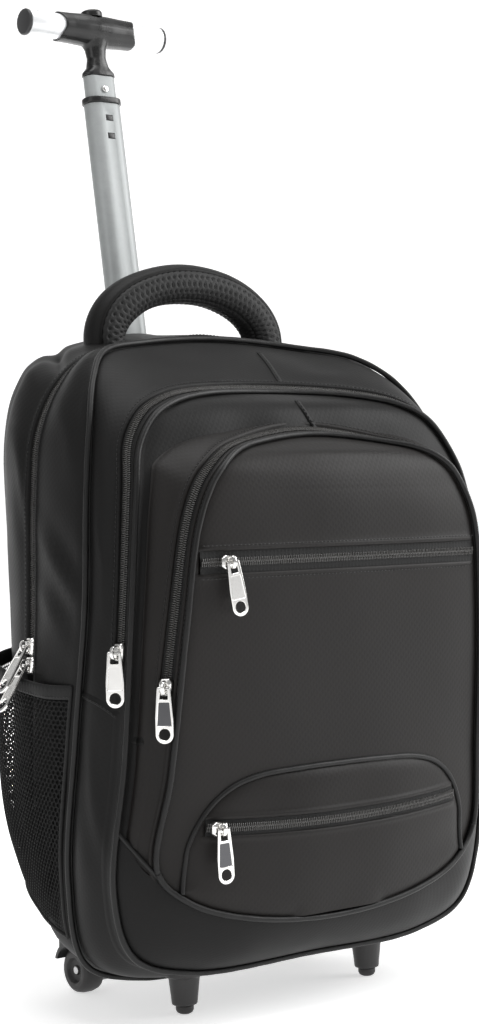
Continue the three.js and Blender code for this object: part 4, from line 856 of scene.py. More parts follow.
arc_ob = arc_pocket()
keep = AP_FREE & (AP_Z > 80)
wx, wz = AP_X[keep], AP_Z[keep]
wx, wz = np.concatenate([wx, -wx[::-1]]), np.concatenate([wz, wz[::-1]])
welt = np.stack([wx, front_face_y(wx, wz) - 1.7, wz], 1)
L = np.concatenate([[0], np.cumsum(np.linalg.norm(np.diff(welt, axis=0), axis=1))])
welt = np.stack([np.interp(np.linspace(0, L[-1], 300), L, welt[:, k]) for k in range(3)], 1)
cord_of("piping_pocket_v", welt, np.cross(np.gradient(welt, axis=0), [0, -1, 0]), np.broadcast_to([0, -1.0, 0], welt.shape), 0.2, CORD, False, radius=1.9)


# ------------------------------------------------------------------ zips
def resample_path(P, N_, step):
    L = np.concatenate([[0], np.cumsum(np.linalg.norm(np.diff(P, axis=0), axis=1))])
    n = max(4, int(round(L[-1] / step)))
    t = (np.arange(n) + 0.5) * L[-1] / n
    f = lambda A: np.stack([np.interp(t, L, A[:, k]) for k in range(3)], 1)
    return f(P), unit(f(N_)), t


TOOTH = np.array([[-1.75, -0.36, -0.35], [1.75, -0.30, -0.35], [1.75, 0.30, -0.35], [-1.75, 0.36, -0.35],
                  [-1.55, -0.28, 0.45], [1.75, -0.22, 0.25], [1.75, 0.22, 0.25], [-1.55, 0.28, 0.45]])
TOOTH_F = [(0, 3, 2, 1), (4, 5, 6, 7), (0, 1, 5, 4), (1, 2, 6, 5), (2, 3, 7, 6), (3, 0, 4, 7)]


def zip_strip(name, P, Nn, node, half, drop=0.75):
    """Coil zip along P: woven tape with raised edges, and two interlocked rows of coil."""
    q, n, t = resample_path(P, Nn, 3.0)
    q = np.vstack([P[:1], q, P[-1:]])
    n = np.vstack([Nn[:1], n, Nn[-1:]])
    T = unit(np.gradient(q, axis=0))
    A = unit(np.cross(n, T))
    xs = np.array([-half - 0.8, -half * 0.8, -3.2, -2.7, -2.2, 0, 2.2, 2.7, 3.2, half * 0.8, half + 0.8])
    hs = np.array([-1.1, -1.15, -1.0, -0.72, -0.62, -0.75, -0.62, -0.72, -1.0, -1.15, -1.1])
    G = q[None] + A[None] * xs[:, None, None] + n[None] * hs[:, None, None]
    L = np.concatenate([[0], np.cumsum(np.linalg.norm(np.diff(q, axis=0), axis=1))])
    uv = np.stack(np.broadcast_arrays(L[None], xs[:, None]), -1).reshape(-1, 2) / 1000
    F = [tuple(f) for f in grid_faces(len(xs), len(q))]
    V = [G.reshape(-1, 3)]
    mi = [0] * len(F)
    base = len(V[0])
    for side, off in ((-1, 0.0), (1, 0.5)):
        c, cn, _ = resample_path(P, Nn, 1.55)
        cT = unit(np.gradient(c, axis=0))
        cA = unit(np.cross(cn, cT))
        c = c + cT * off * 1.55
        W = (c[:, None] + cA[:, None] * (side * (1.15 - TOOTH[None, :, :1])) + cT[:, None] * TOOTH[None, :, 1:2] + cn[:, None] * (TOOTH[None, :, 2:] - 0.05))
        k = np.arange(len(c))[:, None, None] * 8 + base
        ff = (k + np.array(TOOTH_F)[None]).reshape(-1, 4)
        if side > 0:
            ff = ff[:, ::-1]
        F += [tuple(f) for f in ff]
        mi += [1] * len(ff)
        V.append(W.reshape(-1, 3))
        base += len(W) * 8
    uvv = np.vstack([uv, np.zeros((base - len(uv), 2))])
    return make(name, np.vstack(V), F, [TAPE, COIL], node=node, uv=uvv, mat_index=mi)


STITCH = []


def stitch_row(P, Nn, step=3.3, length=2.3, r=0.27, out=0.12):
    """Small raised threads along P."""
    q, n, _ = resample_path(P, Nn, step)
    T = unit(np.gradient(q, axis=0))
    A = np.cross(n, T)
    prof = [(-0.5, 0.0, -0.5), (-0.36, 0.85, 0.45), (0, 1.0, 0.8), (0.36, 0.85, 0.45), (0.5, 0.0, -0.5)]
    ang = np.array([0.4, 1.57, 2.74, 3.9, 5.5])
    cs = np.stack([np.cos(ang), np.sin(ang)], 1)
    V, F = [], []
    for x, rr, h in prof:
        V.append(q[:, None] + T[:, None] * (x * length) + A[:, None] * (cs[None, :, :1] * r * max(rr, 0.25)) + n[:, None] * (cs[None, :, 1:] * r * max(rr, 0.25) + out + h * r))
    V = np.stack(V, 1)                                    # stitches, rings, 5, 3
    k = np.arange(len(q)) * 25
    f0 = []
    for i in range(4):
        for j in range(5):
            j2 = (j + 1) % 5
            f0.append((i * 5 + j, (i + 1) * 5 + j, (i + 1) * 5 + j2, i * 5 + j2))
    F = (k[:, None, None] + np.array(f0)[None]).reshape(-1, 4)
    STITCH.append((V.reshape(-1, 3), F))


def shell_zip(key, name, node, end_z, half):
    s = SHELL[key]
    i = s["zip_row"]
    P, nn = s["P"][i], s["n"][i]
    z = P[:, 2]
    k = np.where(z > end_z)[0]
    P, nn = P[k], nn[k]
    zip_strip(name, P, nn, node, half)
    for off in (-half - 2.6, half + 2.6):
        row = np.argmin(np.abs(s["a"][:, k[0]] - off))
        stitch_row(s["Q"][row][k], nn)
    return P, nn


shell_zip("main_body_v", "zip_main_v", "zip_main", MAIN_END, 4.8)
shell_zip("mid_body_v", "zip_mid_v", "zip_mid", MID_END, 4.8)
shell_zip("front_body_v", "zip_front_v", "zip_front", FRONT_END, 4.8)
x = np.linspace(-125.5, 125.5, 120)
z = np.full_like(x, 321.5)
yy = front_face_y(x, z) - 1.6
nF = np.broadcast_to([0, -1.0, 0], (120, 3))
zip_strip("zip_panel_v", np.stack([x, yy, z], 1), nF, "zip_panel", 7.0)
for dz in (-11.2, 11.2):
    stitch_row(np.stack([x, front_face_y(x, z + dz) - 2.0, z + dz], 1), nF)
x = np.linspace(-115, 115, 110)
z = pocket_zip_z(x)
nF = np.broadcast_to([0, -1.0, 0], (110, 3))
yy = front_face_y(x, z) - pocket_height(x, z) - 1.1
zip_strip("zip_pocket_v", np.stack([x, yy, z], 1), nF, "zip_pocket", 5.2)


# ------------------------------------------------------------------ side net pockets
def level(name, z, side):
    """Where the section line crosses height z on its side run."""
    s = np.linspace(2.0, 19.5, 900)
    p = section(name, s)
    zz = np.maximum.accumulate(p[:, 2])
    return np.stack([side * np.interp(z, zz, p[:, 0]), np.interp(z, zz, p[:, 1]), z], -1)


def pocket_grid(side, C=73, R_=73):
    """Surface of the pocket cloth, (C, R_, 3), with its outward normals."""
    names = [m[0] for m in MESH_POCKET]
    c = np.linspace(0, 5, C)
    t = np.linspace(0, 1, R_)
    tab = np.array([m[1:] for m in MESH_POCKET], float)
    row = catmull(tab, c)
    zl, zt, slack = row[:, 0], row[:, 1], np.interp(c, np.arange(6), tab[:, 2])
    z = zl[:, None] + (zt - zl)[:, None] * t[None]
    cross = np.stack([level(n, z.ravel(), side).reshape(C, R_, 3) for n in names])   # at each height, each section
    P = np.zeros((C, R_, 3))
    idx = np.clip(np.floor(c).astype(int), 0, 4)
    w = c - idx
    for k in range(C):
        i = idx[k]
        ext = [cross[max(i - 1, 0), k], cross[i, k], cross[i + 1, k], cross[min(i + 2, 5), k]]
        a, b, d, e = ext
        u = w[k]
        P[k] = 0.5 * (2 * b + (d - a) * u + (2 * a - 5 * b + 4 * d - e) * u * u + (3 * b - a - 3 * d + e) * u ** 3)
    P[..., 2] = z
    dc = np.gradient(P, axis=0)
    n = unit(np.stack([side * dc[..., 1], -side * dc[..., 0], 0 * dc[..., 2]], -1))
    n *= np.where(n[..., 0] * side < 0, -1, 1)[..., None]
    off = 2.0 + slack[:, None] * np.sin(math.pi / 2 * np.minimum(1, t * 1.5))[None]
    return P + n * off[..., None], n, P


def net_pocket(side, node, name):
    G, n, _ = pocket_grid(side)
    C, R_ = G.shape[:2]
    wu = np.concatenate([[0], np.cumsum(np.linalg.norm(np.diff(G[:, R_ // 2], axis=0), axis=1))])
    hv = np.concatenate([[0], np.cumsum(np.linalg.norm(np.diff(G[C // 2], axis=0), axis=1))])
    a = 1.98
    w = math.sqrt(3) * a

    def surf(u, v):
        cu, cv = np.interp(u, wu, np.arange(C)), np.interp(v, hv, np.arange(R_))
        i, j = np.clip(cu.astype(int), 0, C - 2), np.clip(cv.astype(int), 0, R_ - 2)
        fu, fv = (cu - i)[:, None], (cv - j)[:, None]
        mix = lambda A: (A[i, j] * (1 - fu) + A[i + 1, j] * fu) * (1 - fv) + (A[i, j + 1] * (1 - fu) + A[i + 1, j + 1] * fu) * fv
        return mix(G), unit(mix(n))

    ni, nj = int(wu[-1] / (w / 2)), int((hv[-1] - 8.5) / (1.5 * a))
    I, J = np.meshgrid(np.arange(ni + 1), np.arange(nj + 1), indexing="ij")
    X, Y = I * w / 2, 1.5 * a * J + np.where((I + J) % 2 == 0, 0.5 * a, 0)
    edges = []
    f = lambda M_: M_.ravel()
    edges.append(np.stack([f(X[:-1]), f(Y[:-1]), f(X[1:]), f(Y[1:])], 1))
    up = ((I + J) % 2 == 0)[:, :-1]
    edges.append(np.stack([X[:, :-1][up], Y[:, :-1][up], X[:, 1:][up], Y[:, 1:][up]], 1))
    E = np.vstack(edges)
    p0, n0_ = surf(E[:, 0], E[:, 1])
    p1, n1_ = surf(E[:, 2], E[:, 3])
    T = unit(p1 - p0)
    b = unit(np.cross(n0_, T))
    r = 0.46
    V = np.stack([p0 - b * r, p0 + b * r, p0 + n0_ * r * 1.1, p1 - b * r, p1 + b * r, p1 + n1_ * r * 1.1], 1)
    q0, m0 = surf(np.clip(E[:, 0] + w / 2, 0, wu[-1]), E[:, 1])                    # the knit's inner layer, half a cell along
    q1, m1 = surf(np.clip(E[:, 2] + w / 2, 0, wu[-1]), E[:, 3])
    b2 = unit(np.cross(m0, unit(q1 - q0)))
    q0, q1 = q0 - m0 * 1.1, q1 - m1 * 1.1
    V2 = np.stack([q0 - b2 * r, q0 + b2 * r, q0 + m0 * r * 1.1, q1 - b2 * r, q1 + b2 * r, q1 + m1 * r * 1.1], 1)
    V = np.concatenate([V, V2])
    k = np.arange(len(V))[:, None, None] * 6
    F = (k + np.array([(0, 1, 4, 3), (1, 2, 5, 4), (2, 0, 3, 5)])[None]).reshape(-1, 4)
    ob = make(name, V.reshape(-1, 3), F, NET, node=node, uv=np.zeros((len(V) * 6, 2)))
    # folded hem along the mouth, and the bound edges that are sewn in
    top = G[:, -1]
    tn = n[:, -1]
    down = unit(G[:, -8] - G[:, -1])
    sec = [(0.4, -0.9), (0.9, 0.2), (0.2, 1.3), (-1.2, 1.75), (-5, 1.6), (-8.2, 1.3), (-9.0, 0.75), (-9.2, 0.2), (-8.6, -0.3), (-5, -0.6), (-1.2, -1.0)]
    sec = np.array(sec)
    q = top[:, None] - down[:, None] * sec[None, :, :1] + tn[:, None] * sec[None, :, 1:]
    m = len(sec)
    wave = 0.35 * soft_noise(top, 26, 17)
    q += tn[:, None] * wave[:, None, None]
    f = [tuple(x_) for x_ in grid_faces(C, m, wrap=True)] + [tuple(range(m))[::-1], tuple((C - 1) * m + i for i in range(m))]
    uv = np.stack(np.broadcast_arrays(wu[:, None], np.arange(m)[None] * 2.0), -1).reshape(-1, 2) / 1000
    hem = make(name + "_hem", q.reshape(-1, 3), f, HEM, uv=uv)
    stitch_row(top + down * 7.4 + tn * 1.35, tn, 3.0, 2.1)
    for kcol in (0, C - 1):
        pts, nn = G[kcol], n[kcol]
        v, ff, uvv, _ = tube(pts + nn * 0.2, 1.5, 8, a=nn)
        make(f"{name}_edge{0 if kcol == 0 else 1}", v, ff, HEM, uv=uvv)
    pts, nn = G[:, 0], n[:, 0]
    v, ff, uvv, _ = tube(pts + nn * 0.2, 1.6, 8, a=nn)
    make(name + "_edge2", v, ff, HEM, uv=uvv)
    return ob


net_pocket(-1, "mesh_pocket_left", "mesh_pocket_left_v")
net_pocket(1, "mesh_pocket_right", "mesh_pocket_right_v")


# ------------------------------------------------------------------ grab handle
def airmesh(name, base=0.011, cell=4.4, depth=0.55):
    """Spacer knit: rows of small round holes between thick yarns, with painted shade in the holes."""
    M = Mat(name)
    tc = M.n("ShaderNodeTexCoord")
    sep = M.n("ShaderNodeSeparateXYZ")
    M.link(tc.outputs["UV"], sep.inputs[0])
    k = 2 * math.pi * 1000 / cell
    u, v = M.math("MULTIPLY", sep.outputs[0], k), M.math("MULTIPLY", sep.outputs[1], k)
    c1 = M.math("COSINE", M.math("ADD", M.math("MULTIPLY", v, 0.5), M.math("MULTIPLY", u, 0.866)))
    c2 = M.math("COSINE", M.math("SUBTRACT", M.math("MULTIPLY", v, 0.5), M.math("MULTIPLY", u, 0.866)))
    c3 = M.math("COSINE", v)
    hole = M.math("MULTIPLY", M.math("ADD", M.math("ADD", c1, c2), c3), 1 / 3)      # 1 in a hole, -0.5 between
    mask = M.ramp(hole, [(0.10, 1.0), (0.42, 0.0)])
    fine = M.n("ShaderNodeTexNoise", i_Scale=1100.0, i_Detail=2.0)
    M.link(tc.outputs["Object"], fine.inputs["Vector"])
    yarn = M.ramp(fine.outputs["Fac"], [(0.3, [base * 1.0] * 3), (0.7, [base * 2.0] * 3)])
    # painted shade: the holes are coloured at a quarter of the yarn's tone, standing in for the shade inside them
    col = M.mixc(mask.outputs[0], (base * 0.25,) * 3, yarn.outputs[0])
    M.link(col, M.bsdf.inputs["Base Color"])
    h = M.math("ADD", mask.outputs[0], M.math("MULTIPLY", fine.outputs["Fac"], 0.25))
    bp = M.n("ShaderNodeBump", i_Strength=depth, i_Distance=0.0009)
    M.link(h, bp.inputs["Height"])
    M.link(bp.outputs[0], M.bsdf.inputs["Normal"])
    M.set(Roughness=0.55, Sheen_Weight=0.05, Specular_IOR_Level=0.3)
    return M.m


AIR = airmesh("air_mesh", 0.0075, depth=0.7)


def grab_handle():
    n, m = 400, 128
    a = math.pi * np.linspace(-0.03, 1.03, n)
    rx, rz = 76.0, 44.0
    P = np.stack([-rx * np.cos(a), np.full(n, 44.0), 486 + rz * np.sin(a)], 1)
    T = unit(np.stack([rx * np.sin(a), 0 * a, rz * np.cos(a)], 1))
    Nn = np.stack([-T[:, 2], 0 * a, T[:, 0]], 1)                     # outwards from the middle of the arch
    th = np.arange(m) * 2 * math.pi / m                               # 0 = outwards (up), quarter turn = to the front
    c, s_ = np.cos(th), np.sin(th)
    ex = 2.35
    cr, sr = np.sign(c) * np.abs(c) ** (2 / ex), np.sign(s_) * np.abs(s_) ** (2 / ex)
    L = np.concatenate([[0], np.cumsum(np.linalg.norm(np.diff(P, axis=0), axis=1))])
    fat = 1 + 0.015 * np.sin(L / 17) + 0.02 * soft_noise(P, 40, 51)
    seam = np.zeros(m)
    for ang in (0.95, 2 * math.pi - 0.95, 2.5, 2 * math.pi - 2.5):
        dth = np.abs((th - ang + math.pi) % (2 * math.pi) - math.pi) * 13.5
        seam -= 0.9 * np.exp(-(dth / 1.0) ** 2) - 0.35 * np.exp(-((dth - 2.6) / 1.2) ** 2)
    R_ = 14.2 * cr[None] * fat[:, None] + seam[None] * c[None]
    D = -12.7 * sr[None] * fat[:, None] - seam[None] * s_[None]
    su, sv = L[:, None] * (2 * math.pi / 4.4), (th * 13.6)[None] * (2 * math.pi / 4.4)
    knit = (np.cos(sv) + np.cos(0.5 * sv + 0.866 * su) + np.cos(0.5 * sv - 0.866 * su)) / 3
    knit = -0.75 * smooth(0.0, 0.55, knit) * ((th > 0.9) & (th < 2 * math.pi - 0.9))[None]
    R_ = R_ + knit * c[None]
    D = D - knit * s_[None]
    V = P[:, None] + Nn[:, None] * R_[..., None] + np.array([0, 1.0, 0]) * D[..., None]
    F = grid_faces(n, m, wrap=True)[:, ::-1]
    arc = th * 13.6
    uv = np.stack(np.broadcast_arrays(L[:, None], arc[None]), -1).reshape(-1, 2) / 1000
    col = np.tile(np.arange(m), n - 1)
    ang = (col + 0.5) / m * 2 * math.pi
    smoothc = (ang < 0.95) | (ang > 2 * math.pi - 0.95)
    ends = [tuple(range(m)), tuple((n - 1) * m + i for i in range(m))[::-1]]
    ob = make("grab_handle_v", V.reshape(-1, 3), [tuple(f) for f in F] + ends, [AIR, FAB], node="grab_handle", uv=uv,
              mat_index=[1 if k else 0 for k in smoothc] + [0, 0])
    return ob


grab_handle()


# ------------------------------------------------------------------ back panel and straps
def back_panel():
    ss, pp = HALF["back"]
    z = rung_rows(pp[:, 0], pp[:, 2], 130)
    w = np.interp(z, pp[:, 2], pp[:, 0]) * 0.985
    cols = 90
    u = np.linspace(-1, 1, cols + 1)
    u = np.sin(u * math.pi / 2 * 0.98) / math.sin(math.pi / 2 * 0.98)
    x = w[:, None] * u[None]
    zz = np.broadcast_to(z[:, None], x.shape) + 0.0
    out = np.stack([np.concatenate([pp[:, 0], -pp[:, 0]]) * 0.985, np.zeros(2 * len(pp)), np.concatenate([pp[:, 2]] * 2)], 1)
    d = edge_distance(np.stack([x, x * 0, zz], -1).reshape(-1, 3), out[::3]).reshape(x.shape)
    h = 10.6 * (1 - np.exp(-(d / 4.2) ** 1.2))
    for c, wdt, dep in ((-34, 3.2, 4.2), (34, 3.2, 4.2)):
        h -= dep * np.exp(-((x - c) / wdt) ** 2) * smooth(4, 16, d)
    for zc in (168, 262, 356):
        h -= 3.0 * np.exp(-((zz - zc) / 3.0) ** 2) * (np.abs(x) > 34) * smooth(4, 16, d)
    h = np.maximum(h, 0) + 0.5 * soft_noise(np.stack([x, x * 0, zz], -1).reshape(-1, 3), 50, 61).reshape(x.shape) * smooth(0, 14, d)
    P = np.stack([x, back_y(zz) + 0.8 + h, zz], -1)
    Q = np.stack([x, back_y(zz) + 0.4, zz], -1)
    R_, C = x.shape
    f1 = grid_faces(R_, C)[:, ::-1]
    f2 = grid_faces(R_, C, base=R_ * C)
    rim = []
    for i in range(R_ - 1):
        for c in (0, C - 1):
            q = (i * C + c, (i + 1) * C + c, R_ * C + (i + 1) * C + c, R_ * C + i * C + c)
            rim.append(q if c == 0 else q[::-1])
    for c in range(C - 1):
        for i in (0, R_ - 1):
            q = (i * C + c, R_ * C + i * C + c, R_ * C + i * C + c + 1, i * C + c + 1)
            rim.append(q if i == 0 else q[::-1])
    uv = np.stack([x, zz], -1).reshape(-1, 2) / 1000
    ob = make("back_panel_v", np.vstack([P.reshape(-1, 3), Q.reshape(-1, 3)]), [tuple(f) for f in f1] + [tuple(f) for f in f2] + rim,
              AIR, node="back_panel", uv=np.vstack([uv, uv]))
    edge = np.stack([np.concatenate([pp[::4, 0], -pp[::-4, 0]]) * 0.985, np.concatenate([pp[::4, 1], pp[::-4, 1]]) + 2.2,
                     np.concatenate([pp[::4, 2], pp[::-4, 2]])], 1)
    v, f, uvv, _ = tube(edge, 2.0, 10, closed=False, a=np.broadcast_to([0, 1.0, 0], edge.shape))
    make("back_binding_v", v, f, HEM, uv=uvv)
    return ob


back_panel()

STRAP = [(452, 44, 2.2, 0.9), (425, 50, 9, 1), (380, 58, 17, 1), (320, 64, 21, 1), (260, 70, 18, 0.95), (205, 78, 10, 0.8), (168, 84, 3.5, 0.55)]
WEBR = [(163, 85, 3.2), (140, 89, 1.6), (112, 93, 1.2), (100, 94, 1.2)]


def strap_path(rows, side, thick, n):
    r = np.array(rows, float)
    P = np.stack([side * r[:, 1], back_y(r[:, 0]) + BACK_PANEL_T + 0.6 + r[:, 2] + thick / 2, r[:, 0]], 1)
    t = np.linspace(0, len(P) - 1, n)
    q = catmull(P, t)
    w = np.interp(t, np.arange(len(P)), r[:, 3]) if r.shape[1] > 3 else np.ones(n)
    T = unit(np.gradient(q, axis=0))
    nn = unit(np.array([0, 1.0, 0]) - T * T[:, 1:2])
    return q, T, nn, np.cross(T, nn), w


def strap(side, name, node):
    n, m = 130, 56
    q, T, nn, A, w = strap_path(STRAP, side, 11.0, n)
    th = np.arange(m) * 2 * math.pi / m
    c, s_ = np.cos(th), np.sin(th)
    ex = 3.2
    X, Y = np.sign(c) * np.abs(c) ** (2 / 7.0), np.sign(s_) * np.abs(s_) ** (2 / ex)
    L = np.concatenate([[0], np.cumsum(np.linalg.norm(np.diff(q, axis=0), axis=1))])
    wob = 1 + 0.03 * soft_noise(q, 45, 71)
    edge = np.abs(X)
    h = 5.4 * (1 - 0.55 * smooth(0.80, 0.97, edge))
    tip = np.minimum(1, 0.45 + 0.55 * smooth(0, 12, np.minimum(L, L[-1] - L)))
    V = q[:, None] + A[:, None] * (28.6 * w[:, None] * X[None])[..., None] + nn[:, None] * (Y[None] * h[None] * wob[:, None] * tip[:, None])[..., None]
    F = grid_faces(n, m, wrap=True)
    ends = [tuple(range(m)), tuple((n - 1) * m + i for i in range(m))[::-1]]
    uv = np.stack(np.broadcast_arrays(L[:, None], (th * 20)[None]), -1).reshape(-1, 2) / 1000
    col = np.tile(np.arange(m), n - 1)
    ya = np.sin((col + 0.5) / m * 2 * math.pi)
    ob = make(name, V.reshape(-1, 3), [tuple(f[::-1]) for f in F] + ends, [FAB, AIR], node=node, uv=uv,
              mat_index=[1 if k < 0 else 0 for k in ya] + [0, 0])
    for e in (-1, 1):
        pth = q + A * (28.4 * w * e)[:, None]
        v, f, uvv, _ = tube(pth, 2.1, 10, a=A)
        make(f"{name}_bind{'a' if e < 0 else 'b'}", v, f, HEM, uv=uvv)
        stitch_row(q + A * ((28.4 * w - 4.2) * e)[:, None] + nn * 5.0, nn, 3.3)
    return ob


def webbing(side, name, node):
    q, T, nn, A, w = strap_path(WEBR, side, 2.4, 60)
    sec = [(-12.4, -0.5), (-12, -1.1), (12, -1.1), (12.4, -0.5), (12.4, 0.5), (12, 1.1), (-12, 1.1), (-12.4, 0.5)]
    v, f, uv, _ = tube(q, 1.0, a=A, section=sec)
    return make(name, v, f, WEB, node=node, uv=uv, flat=False)


strap(-1, "strap_left_v", "strap_left")
strap(1, "strap_right_v", "strap_right")
webbing(-1, "webbing_left_v", "webbing_left")
webbing(1, "webbing_right_v", "webbing_right")


# ------------------------------------------------------------------ sliders and pulls
from mathutils.geometry import tessellate_polygon

PULL_LEN, PULL_W = 38.0, 12.4
JOINT = {j["name"]: j for j in frame["joints"]}


def loop_offset(loop, d):
    """Closed 2-D loop moved inwards by d (to its left when it runs anticlockwise)."""
    a, b = np.roll(loop, 1, 0), np.roll(loop, -1, 0)
    t = b - a
    t /= np.maximum(np.linalg.norm(t, axis=1, keepdims=True), 1e-9)
    return loop + np.stack([-t[:, 1], t[:, 0]], 1) * d


def rounded(points, r, seg=6):
    """Polygon with rounded corners, anticlockwise."""
    P, out = np.array(points, float), []
    n = len(P)
    for i in range(n):
        p, a, b = P[i], P[i - 1], P[(i + 1) % n]
        u, v = (a - p) / np.linalg.norm(a - p), (b - p) / np.linalg.norm(b - p)
        ang = math.acos(np.clip(u @ v, -1, 1))
        rr = r[i] if hasattr(r, "__len__") else r
        d = rr / math.tan(ang / 2)
        p0, p1 = p + u * d, p + v * d
        c = p + (u + v) / np.linalg.norm(u + v) * (rr / math.sin(ang / 2))
        a0, a1 = math.atan2(*(p0 - c)[::-1]), math.atan2(*(p1 - c)[::-1])
        da = (a1 - a0 + math.pi) % (2 * math.pi) - math.pi
        for k in range(seg + 1):
            x_ = a0 + da * k / seg
            out.append(c + rr * np.array([math.cos(x_), math.sin(x_)]))
    return np.array(out)


def circle(cx, cz, r, n=28):
    a = np.arange(n) * 2 * math.pi / n
    return np.stack([cx + r * np.cos(a), cz + r * np.sin(a)], 1)


def pull_mesh():
    """Flat zip pull in its own frame: x across, y out, z up, pivot at the origin."""
    L_, W_ = PULL_LEN, PULL_W
    bot = -L_ + 1.0
    w0, w1 = W_ / 2 - 1.6, W_ / 2
    outer = rounded([(w0, 1.0), (-w0, 1.0), (-w1, -L_ * 0.52), (-w1 + 0.1, bot), (w1 - 0.1, bot), (w1, -L_ * 0.52)],
                    [1.6, 1.6, 14, w1 - 0.15, w1 - 0.15, 14], 9)
    hz = bot + w1
    rim = 1.15
    slot = rounded([(2.7, -1.1), (-2.7, -1.1), (-2.7, -7.6), (2.7, -7.6)], 0.7, 4)
    bore = circle(0, hz, 3.9)
    wtop, wbot = -9.3, hz + 5.5
    win = rounded([(w0 - 0.75, wtop), (-w0 + 0.75, wtop), (-w1 + rim, wbot), (w1 - rim, wbot)], [0.9, 0.9, 0.5, 0.5], 4)
    V, F = [], []

    def add_loop(loop, y):
        i = len(V)
        V.extend([(p[0], y, p[1]) for p in loop])
        return list(range(i, i + len(loop)))

    def band(a, b, flip=False):
        for k in range(len(a)):
            q = (a[k], a[(k + 1) % len(a)], b[(k + 1) % len(b)], b[k])
            F.append(q[::-1] if flip else q)

    def face(loops, ids, up):
        tri = tessellate_polygon([[Vector((p[0], p[1], 0)) for p in l] for l in loops])
        flat = [i for l in ids for i in l]
        pts = [p for l in loops for p in l]
        for a, b, c in tri:
            ar = (pts[b][0] - pts[a][0]) * (pts[c][1] - pts[a][1]) - (pts[b][1] - pts[a][1]) * (pts[c][0] - pts[a][0])
            if abs(ar) < 1e-9:
                continue
            t = (flat[a], flat[b], flat[c]) if (ar > 0) else (flat[a], flat[c], flat[b])
            F.append(t[::-1] if up else t)          # anticlockwise in xz faces -y

    edges = {}
    for side, h, bev in ((1, 0.95, 0.3), (-1, 0.8, 0.25)):
        o0, o1, o2 = outer, loop_offset(outer, 0.12), loop_offset(outer, 0.38)
        i0, i1, i2 = add_loop(o0, side * (h - bev)), add_loop(o1, side * (h - bev * 0.35)), add_loop(o2, side * h)
        band(i0, i1, side < 0), band(i1, i2, side < 0)
        loops, ids = [o2], [i2]
        edges[side] = [i0]
        for hole in (slot, bore):
            h0, h1 = hole, loop_offset(hole, -0.3)
            j0, j1 = add_loop(h0, side * (h - 0.3)), add_loop(h1, side * h)
            band(j1, j0, side < 0)
            loops.append(h1)
            ids.append(j1)
            edges[side].append(j0)
        if side > 0:
            w_a, w_b, w_c = loop_offset(win, -0.25), win, loop_offset(win, 0.18)
            k0, k1, k2 = add_loop(w_a, h), add_loop(w_b, h - 0.16), add_loop(w_c, h - 0.42)
            band(k0, k1), band(k1, k2)
            loops.append(w_a)
            ids.append(k0)
            n0 = len(F)
            face([w_c], [k2], True)
            window = (n0, len(F))
        face(loops, ids, side > 0)
    for n_, (a, b) in enumerate(zip(edges[1], edges[-1])):
        band(b, a, n_ > 0)
    return np.array(V), F, window


def slider_mesh():
    """Slider body and bail in its own frame: x across the zip, y out of the cloth, z along the zip."""
    V, F = [], []
    base = 0
    outline = np.array([(3.0, 6.2), (-3.0, 6.2), (-5.0, 3.4), (-4.6, -1.0), (-3.6, -6.0), (3.6, -6.0), (4.6, -1.0), (5.0, 3.4)])
    loop = rounded(outline, [1.4] * 8, 5)
    lay = [(0.9, 0.0), (1.1, -0.25), (2.2, 0.0), (2.5, 0.15), (3.3, 0.55), (3.9, 1.5), (4.2, 2.6)]
    n = len(loop)
    for y, d in lay:
        c = loop * (1 - d / 6.2)
        V.append(np.stack([c[:, 0], np.full(n, y), c[:, 1]], 1))
    for i in range(len(lay) - 1):
        F += [tuple(f) for f in grid_faces(2, n, wrap=True, base=i * n)]
    F.append(tuple(range(n))[::-1])
    F.append(tuple((len(lay) - 1) * n + k for k in range(n)))
    base = n * len(lay)
    path = catmull(np.array([(0, 2.6, -4.1), (0, 5.4, -4.2), (0, 7.9, -3.7), (0, 9.15, -1.8), (0, 9.35, 0), (0, 9.15, 1.8), (0, 7.9, 3.7), (0, 5.4, 4.2), (0, 2.6, 4.1)]), np.linspace(0, 8, 34))
    k = 14
    th = np.arange(k) * 2 * math.pi / k
    sec = np.stack([np.sign(np.cos(th)) * np.abs(np.cos(th)) ** 0.6 * 1.35, np.sign(np.sin(th)) * np.abs(np.sin(th)) ** 0.6 * 0.72], 1)
    v, f, _, _ = tube(path, 1.0, a=np.broadcast_to([1.0, 0, 0], path.shape), section=sec)
    V.append(v)
    F += [tuple(i + base for i in q) for q in f]
    return np.vstack(V), F


def local(A, Y, Z, origin, pts):
    return np.asarray(origin) + pts[:, :1] * A + pts[:, 1:2] * Y + pts[:, 2:] * Z


LEANS = {"main_upper": 0.57, "main_lower": 0.58}
TWIST = {"mid": (0.55, 0.0), "panel": (0.0, -0.16), "pocket": (0.0, -0.04)}
SV, SF_ = slider_mesh()
PV, PF, PWIN = pull_mesh()


def fix_normals(ob, angle=40):
    me = ob.data
    import bmesh
    bm = bmesh.new()
    bm.from_mesh(me)
    bmesh.ops.recalc_face_normals(bm, faces=bm.faces)
    bm.to_mesh(me)
    bm.free()
    me.set_sharp_from_angle(angle=math.radians(angle))


